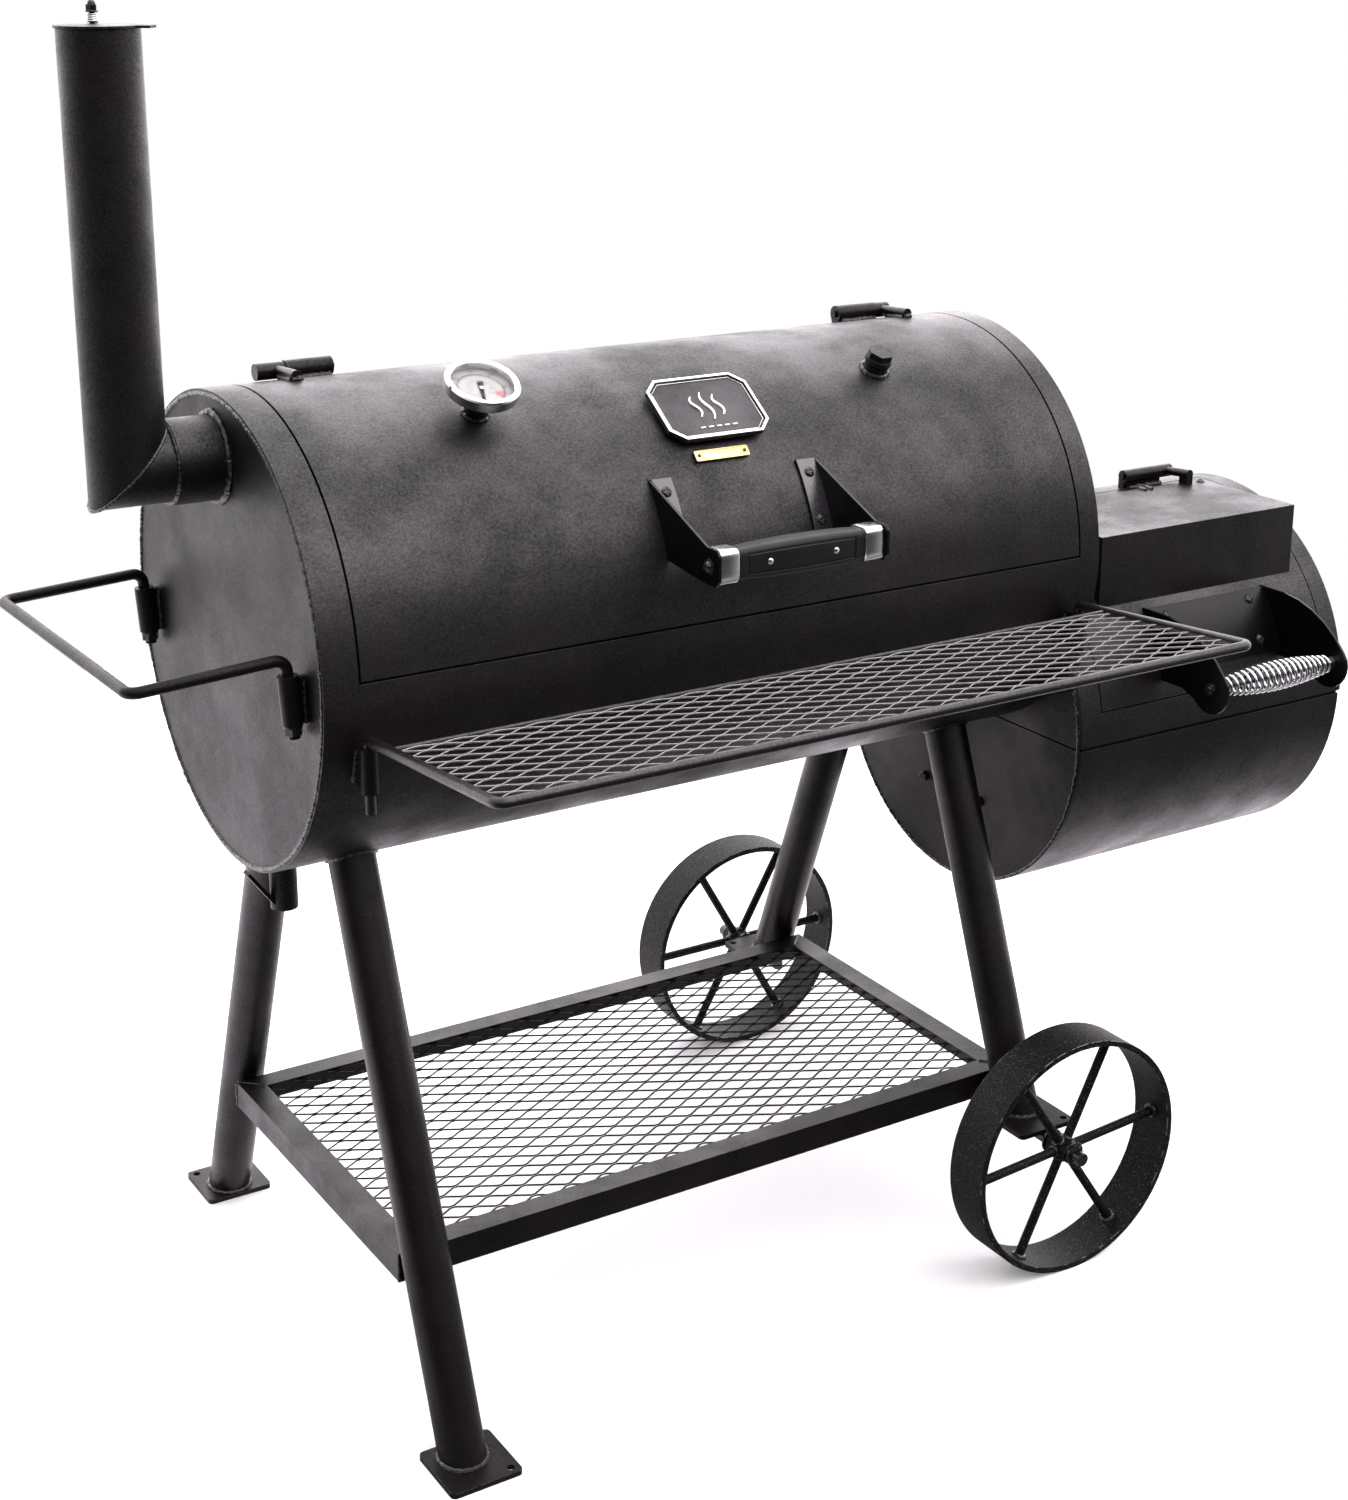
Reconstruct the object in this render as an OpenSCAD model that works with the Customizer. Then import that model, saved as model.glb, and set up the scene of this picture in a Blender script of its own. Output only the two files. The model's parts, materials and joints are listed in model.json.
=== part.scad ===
// Offset barrel charcoal grill: cooking drum with chimney, side firebox, wheeled stand.
// Millimetres, +X towards the firebox, -Y towards the cook, +Z up, floor at z = 0.

/* [Cooking drum] */
// Outside diameter of the cooking drum
drum_d = 508; // [500:1:520]
// Length of the cooking drum
drum_len = 972; // [960:1:990]
// Height of the drum's axis above the floor
drum_h = 834; // [820:1:850]
// Thickness of the shells and end plates
wall = 3; // [2.5:0.5:3.5]
// Distance from the drum's left end to the lid
lid_x0 = 37; // [30:1:45]
// Distance from the drum's left end to the far edge of the lid
lid_x1 = 944; // [930:1:950]

/* [Firebox] */
// Outside diameter of the firebox
fb_d = 474.8; // [470:0.2:480]
// Length of the firebox
fb_len = 440; // [430:1:460]
// Height of the firebox axis above the floor
fb_h = 593; // [585:1:600]

/* [Chimney] */
// Outside diameter of the chimney pipe
chimney_d = 80; // [76:1:84]
// Height of the chimney's rim above the floor
chimney_top = 1446; // [1400:1:1500]
// Height of the chimney's horizontal branch
chimney_z = 1021; // [1015:1:1025]

/* [Stand] */
// Outside diameter of the leg tubes
leg_d = 50.8; // [48:0.4:54]
// Half the spread of the feet
leg_spread = 330; // [325:1:335]
// Height of the bottom shelf's top face
shelf_z = 197; // [190:1:200]
// Diameter of the wheels
wheel_d = 294; // [290:1:296]
// Width of the wheel rims
wheel_w = 57; // [50:1:57]

/* [Hidden] */
$fn = 96;

R = drum_d / 2;
H = drum_h;
L = drum_len;
R2 = fb_d / 2;
H2 = fb_h;
FX0 = L;
FX1 = L + fb_len;
eps = 0.01;

// stations along the drum
leg_xl = 88;
leg_xr = 875;
leg_k = 0.379;
leg_a = atan(leg_k);
plate_t = 6;
axle_z = wheel_d / 2;
axle_r = 8;
axle_plate_z = axle_z + axle_r;
wheel_y = 353.5;
chim_x = -92;
chim_r = chimney_d / 2;
grip_r = R + 79;
grip_a = 15.6;
grip_y = -grip_r * cos(grip_a);
grip_z = H + grip_r * sin(grip_a);
coil_r = R2 + 88;
coil_a = 13.8;
coil_y = -coil_r * cos(coil_a);
coil_z = H2 + coil_r * sin(coil_a);
hinge_a = 15;
hinge_r = R + 10.5;
door_hy = 20;
door_hz = 845;
door_x0 = 1008;
door_x1 = 1387;
box_x0 = 1043;
box_x1 = 1365;
box_y0 = -181;
box_y1 = -12;
box_z = 835;
wing_x0 = 1108;
wing_x1 = 1306;
sh_x0 = 40;
sh_x1 = 936;
sh_y = -264;
sh_z = 787;
sh_tilt = 4.87;
sh_run = 272;
sh_r = 5.5;
shelf_x0 = 68;
shelf_x1 = 894;
shelf_y = 228;
screw_x0 = 407.5;
screw_x1 = 587.5;
therm_x = 238.5;
therm_a = 63;
plug_x = 741.5;
plug_a = 61.9;
badge_x = 497;
badge_a = 54.5;

bail_r = 6;
bail_z = 851;
bail_y = 203;
bail_x = -16;
bail_out = -172;
bail_dip = 3.5;
bail_roll = 1.2;
bail_rise = 7;
axle_end = 389;

// the whole grill is centred on the origin in X and Y
x_mid = (bail_out - bail_r + FX1 + 14) / 2;
y_mid = (axle_end + sh_y - sh_run * cos(sh_tilt) - sh_r) / 2;

black = [0.10, 0.095, 0.10];
steel = [0.62, 0.62, 0.63];
bright = [0.85, 0.85, 0.86];

// ---------- helpers ----------
module place() {
  translate([-x_mid, -y_mid, 0])
    children();
}

// cylinder along X
module xcyl(x0, x1, r, y = 0, z = 0) {
  translate([x0, y, z])
    rotate([0, 90, 0])
      cylinder(r = r, h = x1 - x0);
}

// cylinder along Y
module ycyl(y0, y1, r, x = 0, z = 0) {
  translate([x, y1, z])
    rotate([90, 0, 0])
      cylinder(r = r, h = y1 - y0);
}

// tube along X
module xtube(x0, x1, ro, ri, y = 0, z = 0) {
  difference() {
    xcyl(x0, x1, ro, y, z);
    xcyl(x0 - 1, x1 + 1, ri, y, z);
  }
}

// part of a tube along X; angles run from the front (-Y) over the top
module sector(ri, ro, x0, x1, a0, a1, z = H) {
  translate([x1, 0, z])
    rotate([90, 0, -90])
      rotate([0, 0, a0])
        rotate_extrude(angle = a1 - a0)
          translate([ri, 0])
            square([ro - ri, x1 - x0]);
}

// frame standing on a drum of radius r, +Z outward, +Y up the slope
module on_drum(x, a, r = R, z = H) {
  translate([x, -r * cos(a), z + r * sin(a)])
    rotate([90 - a, 0, 0])
      children();
}

// outline in the YZ plane, extruded along X
module yz_plate(x0, t) {
  translate([x0, 0, 0])
    rotate([90, 0, 90])
      linear_extrude(t)
        children();
}

module hexagon(flats, h) {
  cylinder(r = flats / 2 / cos(30), h = h, $fn = 6);
}

// elbow of a rod lying in the XY plane; turns from +X direction to +Y
module elbow(rb, r, a = 90) {
  rotate_extrude(angle = a)
    translate([rb, 0])
      circle(r = r, $fn = 48);
}

// elbow a hair thinner than its rod, with both ends sunk into the straight parts
module soft_elbow(rb, r, a = 90) {
  over = 3;
  rotate([0, 0, -over])
    elbow(rb, r - 0.05, a + 2 * over);
}

// pan-head or dome-head bolt with its head on +Z
module dome_bolt(r, h, shank, len) {
  rotate_extrude()
    polygon([[0, -len], [shank, -len], [shank, 0], [r, 0], [r, h * 0.4], [r * 0.7, h * 0.85], [0, h]]);
}

// ---------- expanded-metal mesh: two crossed layers of flat strands ----------
mesh_sx = 22;
mesh_sy = 12.5;
mesh_m = mesh_sy / mesh_sx;
mesh_w = 2.6;
mesh_t = 1.5;
mesh_gap = 0.03;

function lo_x(s, c, x0, x1, y0, y1) = max(x0, min((y0 - c) / (s * mesh_m), (y1 - c) / (s * mesh_m)));
function hi_x(s, c, x0, x1, y0, y1) = min(x1, max((y0 - c) / (s * mesh_m), (y1 - c) / (s * mesh_m)));
// the two corners of a strand where it ends at x, cut along the border it meets
function cut_pts(s, c, x, xb) = let (h = mesh_w / 2 / cos(atan(mesh_m)), y = s * mesh_m * x + c)
  xb ? [[x, y + h], [x, y - h]] : [[x - h / (s * mesh_m), y], [x + h / (s * mesh_m), y]];

module mesh_layer(s, x0, x1, y0, y1) {
  c_lo = min(y0, y0 - s * mesh_m * x1, y0 - s * mesh_m * x0);
  c_hi = max(y1, y1 - s * mesh_m * x1, y1 - s * mesh_m * x0);
  linear_extrude(mesh_t)
    for (c = [c_lo : 2 * mesh_sy : c_hi]) {
      a = lo_x(s, c, x0, x1, y0, y1);
      b = hi_x(s, c, x0, x1, y0, y1);
      if (b - a > 16) {
        pa = cut_pts(s, c, a, a == x0);
        pb = cut_pts(s, c, b, b == x1);
        polygon([pa[0], pb[0], pb[1], pa[1]]);
      }
    }
}

module mesh_sheet(x0, x1, y0, y1) {
  mesh_layer(1, x0, x1, y0, y1);
  translate([0, 0, mesh_t + 0.02])
    mesh_layer(-1, x0, x1, y0, y1);
}

// ---------- cooking drum ----------
module drum_shell() place() color(black)
  difference() {
    xcyl(0, L, R, 0, H);
    xcyl(-1, L + 1, R - wall, 0, H);
    sector(R - 12, R + 12, lid_x0, lid_x1, 1.5, 104);
    // drain hole
    translate([51, 0, H - R - 5])
      cylinder(r = 13, h = 20);
  }

module drum_cap_left() place() color(black)
  difference() {
    xcyl(0, wall, R - wall, 0, H);
    xcyl(-1, wall + 1, chim_r - 2, 0, chimney_z);
  }

module passage(x0, x1) {
  translate([x0, -110, 625])
    cube([x1 - x0, 220, 130]);
}

module drum_cap_right() place() color(black)
  difference() {
    xcyl(L - wall, L, R - wall, 0, H);
    passage(L - wall - 1, L + 1);
    for (s = [-1, 1], z = [650, 730])
      xcyl(L - 10, L + 10, 4.3, s * 135, z);
  }

// strips inside the lid opening that the lid closes against
module lid_lip() place() color(black) {
  difference() {
    sector(R - wall - 3, R - wall, lid_x0 - 12, lid_x1 + 12, -3, 104);
    sector(R - wall - 4, R - wall + 1, lid_x0 + 12, lid_x1 - 12, 4, 105);
  }
}

module hinge_frame(x) {
  translate([x, hinge_r * sin(hinge_a), H + hinge_r * cos(hinge_a)])
    rotate([-hinge_a, 0, 0])
      children();
}

module drum_knuckle(x0, len) {
  difference() {
    hinge_frame(x0) {
      xcyl(0, len, 10);
      translate([0, 1, -14])
        cube([len, 8.5, 14]);
    }
    hinge_frame(x0)
      xcyl(-1, len + 1, 4.06);
    xcyl(x0 - 1, x0 + len + 1, R, 0, H);
  }
}

// the drum's half of the two lid hinges, and the firebox's half of the two door hinges
module drum_hinge_knuckles() place() color(black) {
  drum_knuckle(107, 53);
  drum_knuckle(820, 57);
  for (x0 = [1088, 1256])
    difference() {
      union() {
        xcyl(x0, x0 + 64, 8.5, door_hy, door_hz);
        translate([x0, door_hy - 2, door_hz - 20])
          cube([64, 10, 20]);
      }
      xcyl(x0 - 1, x0 + 65, 4.06, door_hy, door_hz);
      xcyl(x0 - 1, x0 + 65, R2, 0, H2);
    }
}

module grate_ledges() place() color(black)
  intersection() {
    xcyl(wall, L - wall, R - wall, 0, H);
    for (s = [0, 1])
      mirror([0, s, 0]) {
        translate([wall, -250, 789])
          cube([L - 2 * wall, 28, 3]);
        translate([wall, -225, 769])
          cube([L - 2 * wall, 3, 20]);
      }
  }

module drain_pipe() place() color(black)
  difference() {
    translate([51, 0, 515])
      cylinder(r = 15, h = 80);
    translate([51, 0, 514])
      cylinder(r = 13, h = 90);
    xcyl(0, 120, R, 0, H);
  }

module bucket_hook() place() color(black) {
  difference() {
    translate([37.5, 0, 526])
      rotate([0, -36, 0])
        translate([-3, -7, -2])
          cube([4, 14, 48]);
    translate([51, 0, 500])
      cylinder(r = 15, h = 90);
  }
}

// ---------- chimney ----------
module chimney_collar() place() color(black)
  xtube(-52, 0, 44, chim_r, 0, chimney_z);

// half space on the outer side of the mitre
module mitre_cut(keep_up) {
  translate([chim_x, 0, chimney_z])
    rotate([0, 45, 0])
      translate([-150, -100, keep_up ? -200 : 0])
        cube([300, 200, 200]);
}

module chimney_elbow() place() color(black)
  difference() {
    xcyl(chim_x - 60, 0, chim_r, 0, chimney_z);
    xcyl(chim_x - 61, 1, chim_r - 2, 0, chimney_z);
    translate([chim_x, 0, chimney_z])
      rotate([0, 45, 0])
        translate([-300, -100, -150])
          cube([300, 200, 300]);
  }

module chimney_pipe() place() color(black)
  difference() {
    translate([chim_x, 0, chimney_z - 60])
      cylinder(r = chim_r, h = chimney_top - chimney_z + 60);
    translate([chim_x, 0, chimney_z - 61])
      cylinder(r = chim_r - 2, h = chimney_top - chimney_z + 62);
    translate([chim_x, 0, chimney_z])
      rotate([0, 45, 0])
        translate([0, -100, -150])
          cube([300, 200, 300]);
  }

dmp_x = chim_x + 5;
dmp_y = 30;

// pivot bolt of the chimney's damper, with its lug, washer and nut
module damper_bolt() place() color(steel) {
  difference() {
    translate([dmp_x - 6, dmp_y - 6, chimney_top - 16])
      cube([12, 20, 12]);
    difference() {
      translate([chim_x, 0, chimney_top - 20])
        cylinder(r = chim_r + 20, h = 30);
      translate([chim_x, 0, chimney_top - 21])
        cylinder(r = chim_r - 2, h = 32);
    }
    translate([dmp_x, dmp_y, chimney_top - 20])
      cylinder(r = 3, h = 30);
  }
  translate([dmp_x, dmp_y, 0]) {
    translate([0, 0, chimney_top - 20])
      hexagon(10, 4);
    translate([0, 0, chimney_top - 16])
      cylinder(r = 3, h = 37);
    translate([0, 0, chimney_top + 13.6])
      cylinder(r = 6.5, h = 1.2);
    translate([0, 0, chimney_top + 14.8])
      hexagon(10, 6);
    translate([0, 0, chimney_top + 20.8])
      rotate_extrude()
        polygon([[0, 0], [4, 0], [4, 1.6], [2.6, 3.8], [0, 4.6]]);
  }
}

module damper_spring() place() color(bright)
  for (i = [0 : 3])
    translate([dmp_x, dmp_y, chimney_top + 4.2 + i * 2.6])
      rotate_extrude($fn = 32)
        translate([4.6, 0])
          circle(r = 1.2, $fn = 16);

module damper_cap() place() color(black)
  difference() {
    union() {
      translate([chim_x, 0, chimney_top + 0.3])
        cylinder(r = chim_r + 2, h = 2.5);
      // thumb tab
      translate([chim_x, 0, chimney_top + 0.3])
        rotate([0, 0, -38])
          translate([chim_r - 6, -9, 0])
            cube([20, 18, 2.5]);
    }
    translate([dmp_x, dmp_y, chimney_top - 5])
      cylinder(r = 3.06, h = 20);
  }

// ---------- left bail handle ----------
// the handle hangs slightly: its outer bar dips and its front side sits higher
module bail_place()
  translate([bail_x, 0, bail_z + bail_rise])
    rotate([-bail_roll, 0, 0])
      rotate([0, -bail_dip, 0])
        translate([-bail_x, 0, -bail_z])
          children();

module bail_sockets() place() color(black)
  for (s = [-1, 1])
    difference() {
      union() {
        bail_place()
          translate([bail_x, s * bail_y, 784])
            cylinder(r = 10.5, h = 50);
        translate([-8, s * bail_y - 5, 793 - s * 4.2])
          cube([8, 8, 46]);
      }
      bail_place()
        translate([bail_x, s * bail_y, 783])
          cylinder(r = bail_r + 0.3, h = 52);
    }

module bail_handle() place() color(black)
  bail_place() {
    rb = 12;
    far_x = bail_x - (bail_x - bail_out) / cos(bail_dip);
    for (s = [0, 1])
      mirror([0, s, 0]) {
        // leg down through the socket
        translate([bail_x, -bail_y, 770])
          cylinder(r = bail_r, h = bail_z - 770 - rb);
        // bend from vertical to outward
        translate([bail_x - rb, -bail_y, bail_z - rb])
          rotate([90, 0, 0])
            elbow(rb, bail_r);
        // arm
        xcyl(far_x + rb, bail_x - rb, bail_r, -bail_y, bail_z);
        // outer corner
        translate([far_x + rb, -bail_y + rb, bail_z])
          rotate([0, 0, 180])
            elbow(rb, bail_r);
      }
    ycyl(-bail_y + rb, bail_y - rb, bail_r, far_x, bail_z);
  }

module bail_nuts() place() color(steel)
  bail_place()
    for (s = [-1, 1])
      translate([bail_x, s * bail_y, 774])
        difference() {
          union() {
            hexagon(16, 7.5);
            translate([0, 0, 7.7])
              cylinder(r = 9.5, h = 2);
          }
          translate([0, 0, -1])
            cylinder(r = bail_r, h = 14);
        }

// ---------- front shelf ----------
module shelf_sockets() place() color(black)
  for (x = [sh_x0, sh_x1])
    difference() {
      union() {
        translate([x, sh_y, 733])
          cylinder(r = 9, h = 46);
        translate([x - 4, sh_y, 736])
          cube([8, 34, 40]);
      }
      translate([x, sh_y, 732])
        cylinder(r = sh_r + 0.3, h = 48);
      xcyl(0, L, R, 0, H);
    }

// frame of the tilted front shelf: +Y of this frame points forward along the shelf
module shelf_frame() {
  translate([0, sh_y, sh_z])
    rotate([-sh_tilt, 0, 0])
      children();
}

module front_shelf_rods() place() color(black) {
  rb = 10;
  bend = 7;
  bend_in = bend * (1 - sin(sh_tilt)) / cos(sh_tilt);
  for (x = [sh_x0, sh_x1]) {
    translate([x, sh_y, 712])
      cylinder(r = sh_r, h = sh_z - bend_in - 712);
    translate([x, sh_y - bend, sh_z - bend_in])
      rotate([90, 0, 90])
        soft_elbow(bend, sh_r, 90 - sh_tilt);
  }
  shelf_frame() {
    for (x = [sh_x0, sh_x1])
      ycyl(-sh_run + rb, -bend_in, sh_r, x, 0);
    xcyl(sh_x0 + rb, sh_x1 - rb, sh_r, -sh_run, 0);
    translate([sh_x0 + rb, -sh_run + rb, 0])
      rotate([0, 0, 180])
        soft_elbow(rb, sh_r);
    translate([sh_x1 - rb, -sh_run + rb, 0])
      rotate([0, 0, 270])
        soft_elbow(rb, sh_r);
    xcyl(sh_x0 + sh_r - 1, sh_x1 - sh_r + 1, 2.6, -46, 0);
  }
}

module front_shelf_mesh() place() color(steel)
  shelf_frame()
    translate([0, 0, -mesh_t])
      mesh_sheet(sh_x0 + sh_r + mesh_gap, sh_x1 - sh_r - mesh_gap, -sh_run + sh_r + mesh_gap, -46 - 2.6 - mesh_gap);

// ---------- stand ----------
module leg(x, s, z0) {
  difference() {
    translate([x, s * leg_spread, 0])
      rotate([s * leg_a, 0, 0])
        difference() {
          translate([0, 0, -40])
            cylinder(r = leg_d / 2, h = 800);
          translate([0, 0, -41])
            cylinder(r = leg_d / 2 - 2.5, h = 802);
        }
    translate([x - 60, s * leg_spread - 200, z0 - 400])
      cube([120, 400, 400]);
    xcyl(x - 60, x + 60, R, 0, H);
    // nothing of the tube remains above the drum's underside
    translate([x - 60, -260, H - 120])
      cube([120, 520, 400]);
  }
}

module leg_front_left() place() color(black) leg(leg_xl, -1, plate_t);
module leg_rear_left() place() color(black) leg(leg_xl, 1, plate_t);
module leg_front_right() place() color(black) leg(leg_xr, -1, axle_plate_z + plate_t);
module leg_rear_right() place() color(black) leg(leg_xr, 1, axle_plate_z + plate_t);

// square plate with rounded corners and one hole
module base_plate(hx, hy) {
  difference() {
    union() {
      translate([-41, -35, 0])
        cube([82, 70, plate_t]);
      translate([-35, -41, 0])
        cube([70, 82, plate_t]);
      for (a = [-1, 1], b = [-1, 1])
        translate([a * 35, b * 35, 0])
          cylinder(r = 6, h = plate_t);
    }
    translate([hx, hy, -1])
      cylinder(r = 4.5, h = plate_t + 2);
  }
}

module foot_plates() place() color(black) {
  translate([leg_xl + 3, -leg_spread - 10, 0])
    base_plate(31, -31);
  translate([leg_xl + 3, leg_spread + 8, 0])
    base_plate(-31, 31);
}

module axle_plates() place() color(black)
  for (s = [-1, 1])
    translate([leg_xr, s * 286, axle_plate_z])
      base_plate(s * -31, s * 31);

// stub axles, welded under the plates, with their washers and split pins
module axles() place() color(steel)
  for (s = [0, 1])
    mirror([0, s, 0]) {
      difference() {
        ycyl(-axle_end, -250, axle_r, leg_xr, axle_z);
        translate([leg_xr, -382, axle_z - 20])
          cylinder(r = 1.6, h = 40, $fn = 24);
      }
      translate([leg_xr, -382, axle_z - 14])
        cylinder(r = 1.5, h = 27, $fn = 24);
      translate([leg_xr, -382, axle_z + 14])
        rotate([90, 0, 90])
          rotate_extrude($fn = 32)
            translate([3.6, 0])
              circle(r = 1.5, $fn = 16);
      difference() {
        ycyl(-375.5, -373, 12, leg_xr, axle_z);
        ycyl(-376.5, -372, axle_r, leg_xr, axle_z);
      }
      difference() {
        ycyl(-335, -332.5, 15, leg_xr, axle_z);
        ycyl(-336, -331, axle_r, leg_xr, axle_z);
      }
    }

// flat-rimmed steel wheel: rim, round spokes and hub welded together
module wheel(y, phase) {
  difference() {
    union() {
      difference() {
        ycyl(y - wheel_w / 2, y + wheel_w / 2, wheel_d / 2, leg_xr, axle_z);
        ycyl(y - wheel_w / 2 - 1, y + wheel_w / 2 + 1, wheel_d / 2 - 7, leg_xr, axle_z);
      }
      ycyl(y - 17, y + 17, 13, leg_xr, axle_z);
      for (i = [0 : 5])
        translate([leg_xr, y, axle_z])
          rotate([0, 90 - phase - i * 60, 0])
            translate([0, 0, 11])
              cylinder(r = 5.5, h = wheel_d / 2 - 11 - 5);
    }
    ycyl(y - 18, y + 18, axle_r + 0.06, leg_xr, axle_z);
  }
}

module wheel_front() place() color(black) wheel(-wheel_y, 4);
module wheel_rear() place() color(black) wheel(wheel_y, 0);

module bottom_shelf_frame() place() color(black)
  difference() {
    translate([shelf_x0, -shelf_y, shelf_z - 32])
      cube([shelf_x1 - shelf_x0, 2 * shelf_y, 32]);
    translate([shelf_x0 + 3.5, -shelf_y + 3.5, shelf_z - 33])
      cube([shelf_x1 - shelf_x0 - 7, 2 * shelf_y - 7, 33 - 3.5]);
    translate([shelf_x0 + 28, -shelf_y + 28, shelf_z - 10])
      cube([shelf_x1 - shelf_x0 - 56, 2 * shelf_y - 56, 20]);
  }

module bottom_mesh() place() color(black)
  translate([0, 0, shelf_z - 3.5 - 2 * mesh_t - 0.02])
    mesh_sheet(shelf_x0 + 8, shelf_x1 - 8, -shelf_y + 8, shelf_y - 8);

// welded lugs between the legs and the shelf's long rails
module shelf_lugs() place() color(black)
  for (x = [leg_xl, leg_xr], s = [0, 1])
    mirror([0, s, 0])
      difference() {
        translate([x - 12, -shelf_y - 16, shelf_z - 31])
          cube([24, 16, 25]);
        translate([x, -leg_spread, 0])
          rotate([-leg_a, 0, 0])
            cylinder(r = leg_d / 2, h = 700);
      }

// ---------- firebox ----------
module half_disc(x0, x1, r, up) {
  intersection() {
    xcyl(x0, x1, r, 0, H2);
    translate([x0 - 1, -r - 1, up ? H2 + 0.9 : H2 - r - 2 - 0.9])
      cube([x1 - x0 + 2, 2 * r + 2, r + 2]);
  }
}

module firebox_lower() place() color(black)
  difference() {
    union() {
      sector(R2 - wall, R2, FX0, FX1 - 1, 180.45, 359.55, H2);
      half_disc(FX0, FX0 + wall, R2 - wall, false);
      half_disc(FX1 - 1 - wall, FX1 - 1, R2 - wall, false);
      // bolting flanges along the split
      for (s = [0, 1])
        mirror([0, s, 0])
          translate([FX0 + wall, -R2 + 2.5, H2 - 4])
            cube([fb_len - 1 - 2 * wall, 22, 4]);
    }
    for (s = [-1, 1], x = [FX0 + 40, FX0 + 220, FX1 - 40])
      translate([x, s * (R2 - 15), H2 - 10])
        cylinder(r = 3.3, h = 20);
    for (s = [-1, 1], x = [FX0, FX1 - 1])
      xcyl(x - 10, x + 10, 3.3, s * 56, 470);
    for (s = [-1, 1])
      xcyl(FX1 - 10, FX1 + 10, 17, s * 29, 440);
    xcyl(FX1 - 10, FX1 + 10, 4, 0, 440);
  }

module firebox_upper() place() color(black)
  difference() {
    union() {
      sector(R2 - wall, R2, FX0, FX1 + 2, 0.45, 179.55, H2);
      half_disc(FX0, FX0 + wall, R2 - wall, true);
      half_disc(FX1 + 2 - wall, FX1 + 2, R2 - wall, true);
      for (s = [0, 1])
        mirror([0, s, 0])
          translate([FX0 + wall, -R2 + 2.5, H2])
            cube([fb_len - 1 - wall, 22, 4]);
    }
    sector(R2 - 12, R2 + 12, door_x0, door_x1, 9.8, 93.6, H2);
    passage(FX0 - 1, FX0 + wall + 1);
    for (s = [-1, 1], z = [650, 730])
      xcyl(FX0 - 10, FX0 + 10, 4.3, s * 135, z);
    for (s = [-1, 1], x = [FX0 + 40, FX0 + 220, FX1 - 40])
      translate([x, s * (R2 - 15), H2 - 10])
        cylinder(r = 3.3, h = 20);
  }

// bolts along the split, through the passage plates and at the charcoal ledges
module firebox_bolts() place() color(steel) {
  for (s = [-1, 1], x = [FX0 + 40, FX0 + 220, FX1 - 40])
    translate([x, s * (R2 - 15), 0]) {
      translate([0, 0, H2 + 4])
        hexagon(10, 4);
      translate([0, 0, H2 - 12])
        cylinder(r = 3, h = 16);
      translate([0, 0, H2 - 9])
        hexagon(10, 5);
    }
  for (s = [-1, 1], z = [650, 730])
    translate([0, s * 135, z])
      rotate([0, 90, 0]) {
        translate([0, 0, L - wall - 5])
          hexagon(13, 5);
        translate([0, 0, L - wall])
          cylinder(r = 4, h = 14);
        translate([0, 0, FX0 + wall])
          hexagon(13, 6);
      }
  for (s = [-1, 1]) {
    translate([FX0 - 5, s * 56, 470])
      rotate([0, 90, 0]) {
        hexagon(12, 5);
        cylinder(r = 3, h = 20);
      }
    translate([FX1 - 1 + 5, s * 56, 470])
      rotate([0, -90, 0]) {
        hexagon(12, 5);
        cylinder(r = 3, h = 20);
      }
  }
}

module charcoal_ledges() place() color(black)
  for (x = [FX0 + wall, FX1 - 1 - wall - 3])
    difference() {
      union() {
        translate([x, -170, 458])
          cube([3, 340, 24]);
        translate([x == FX0 + wall ? x : x - 22, -170, 479])
          cube([25, 340, 3]);
      }
      for (s = [-1, 1])
        xcyl(x - 10, x + 20, 3, s * 56, 470);
    }

// slotted shutter over the two air holes
module intake_shutter() place() color(black)
  difference() {
    union() {
      xcyl(FX1 - 0.7, FX1 + 1.5, 52, 0, 440);
      xcyl(FX1 + 1.5, FX1 + 14, 6, 30, 470);
    }
    for (s = [-1, 1])
      xcyl(FX1 - 5, FX1 + 5, 17, 0, 440 + s * 29);
    xcyl(FX1 - 5, FX1 + 5, 4.06, 0, 440);
  }

module intake_bolt() place() color(steel) {
  xcyl(FX1 - 14, FX1 + 4, 4, 0, 440);
  translate([FX1 + 1.8, 0, 440])
    rotate([0, 90, 0])
      dome_bolt(8, 5, 3.9, 0.01);
  translate([FX1 - 11, 0, 440])
    rotate([0, 90, 0])
      hexagon(13, 6.9);
}

// ---------- lid ----------
module lid_panel() place() color(black)
  difference() {
    sector(R - wall + 0.3, R, lid_x0 + 2.5, lid_x1 - 2.5, 2.1, 103.4);
    for (x = [screw_x0, screw_x1], a = [33.6, 21.6])
      on_drum(x, a)
        translate([0, 0, -10])
          cylinder(r = 2.6, h = 20);
    on_drum(therm_x, therm_a)
      translate([0, 0, -10])
        cylinder(r = 6, h = 20);
    on_drum(plug_x, plug_a)
      translate([0, 0, -10])
        cylinder(r = 6, h = 20);
  }

// knuckle, welded stub and pin of a lid hinge; the stub runs forward onto the lid
module lid_arm(x0, len, stub_x) {
  difference() {
    hinge_frame(0) {
      xcyl(x0, x0 + len, 9);
      translate([stub_x, 0, 0])
        rotate([90 + 12, 0, 0])
          cylinder(r = 6, h = 56);
    }
    xcyl(x0 - 20, x0 + len + 20, R, 0, H);
  }
}

module lid_hinge_arms() place() color(black) {
  lid_arm(74, 31.8, 98);
  hinge_frame(0)
    xcyl(105, 163, 4);
  lid_arm(878.2, 17.8, 887);
  hinge_frame(0)
    xcyl(817, 879, 4);
}

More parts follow.
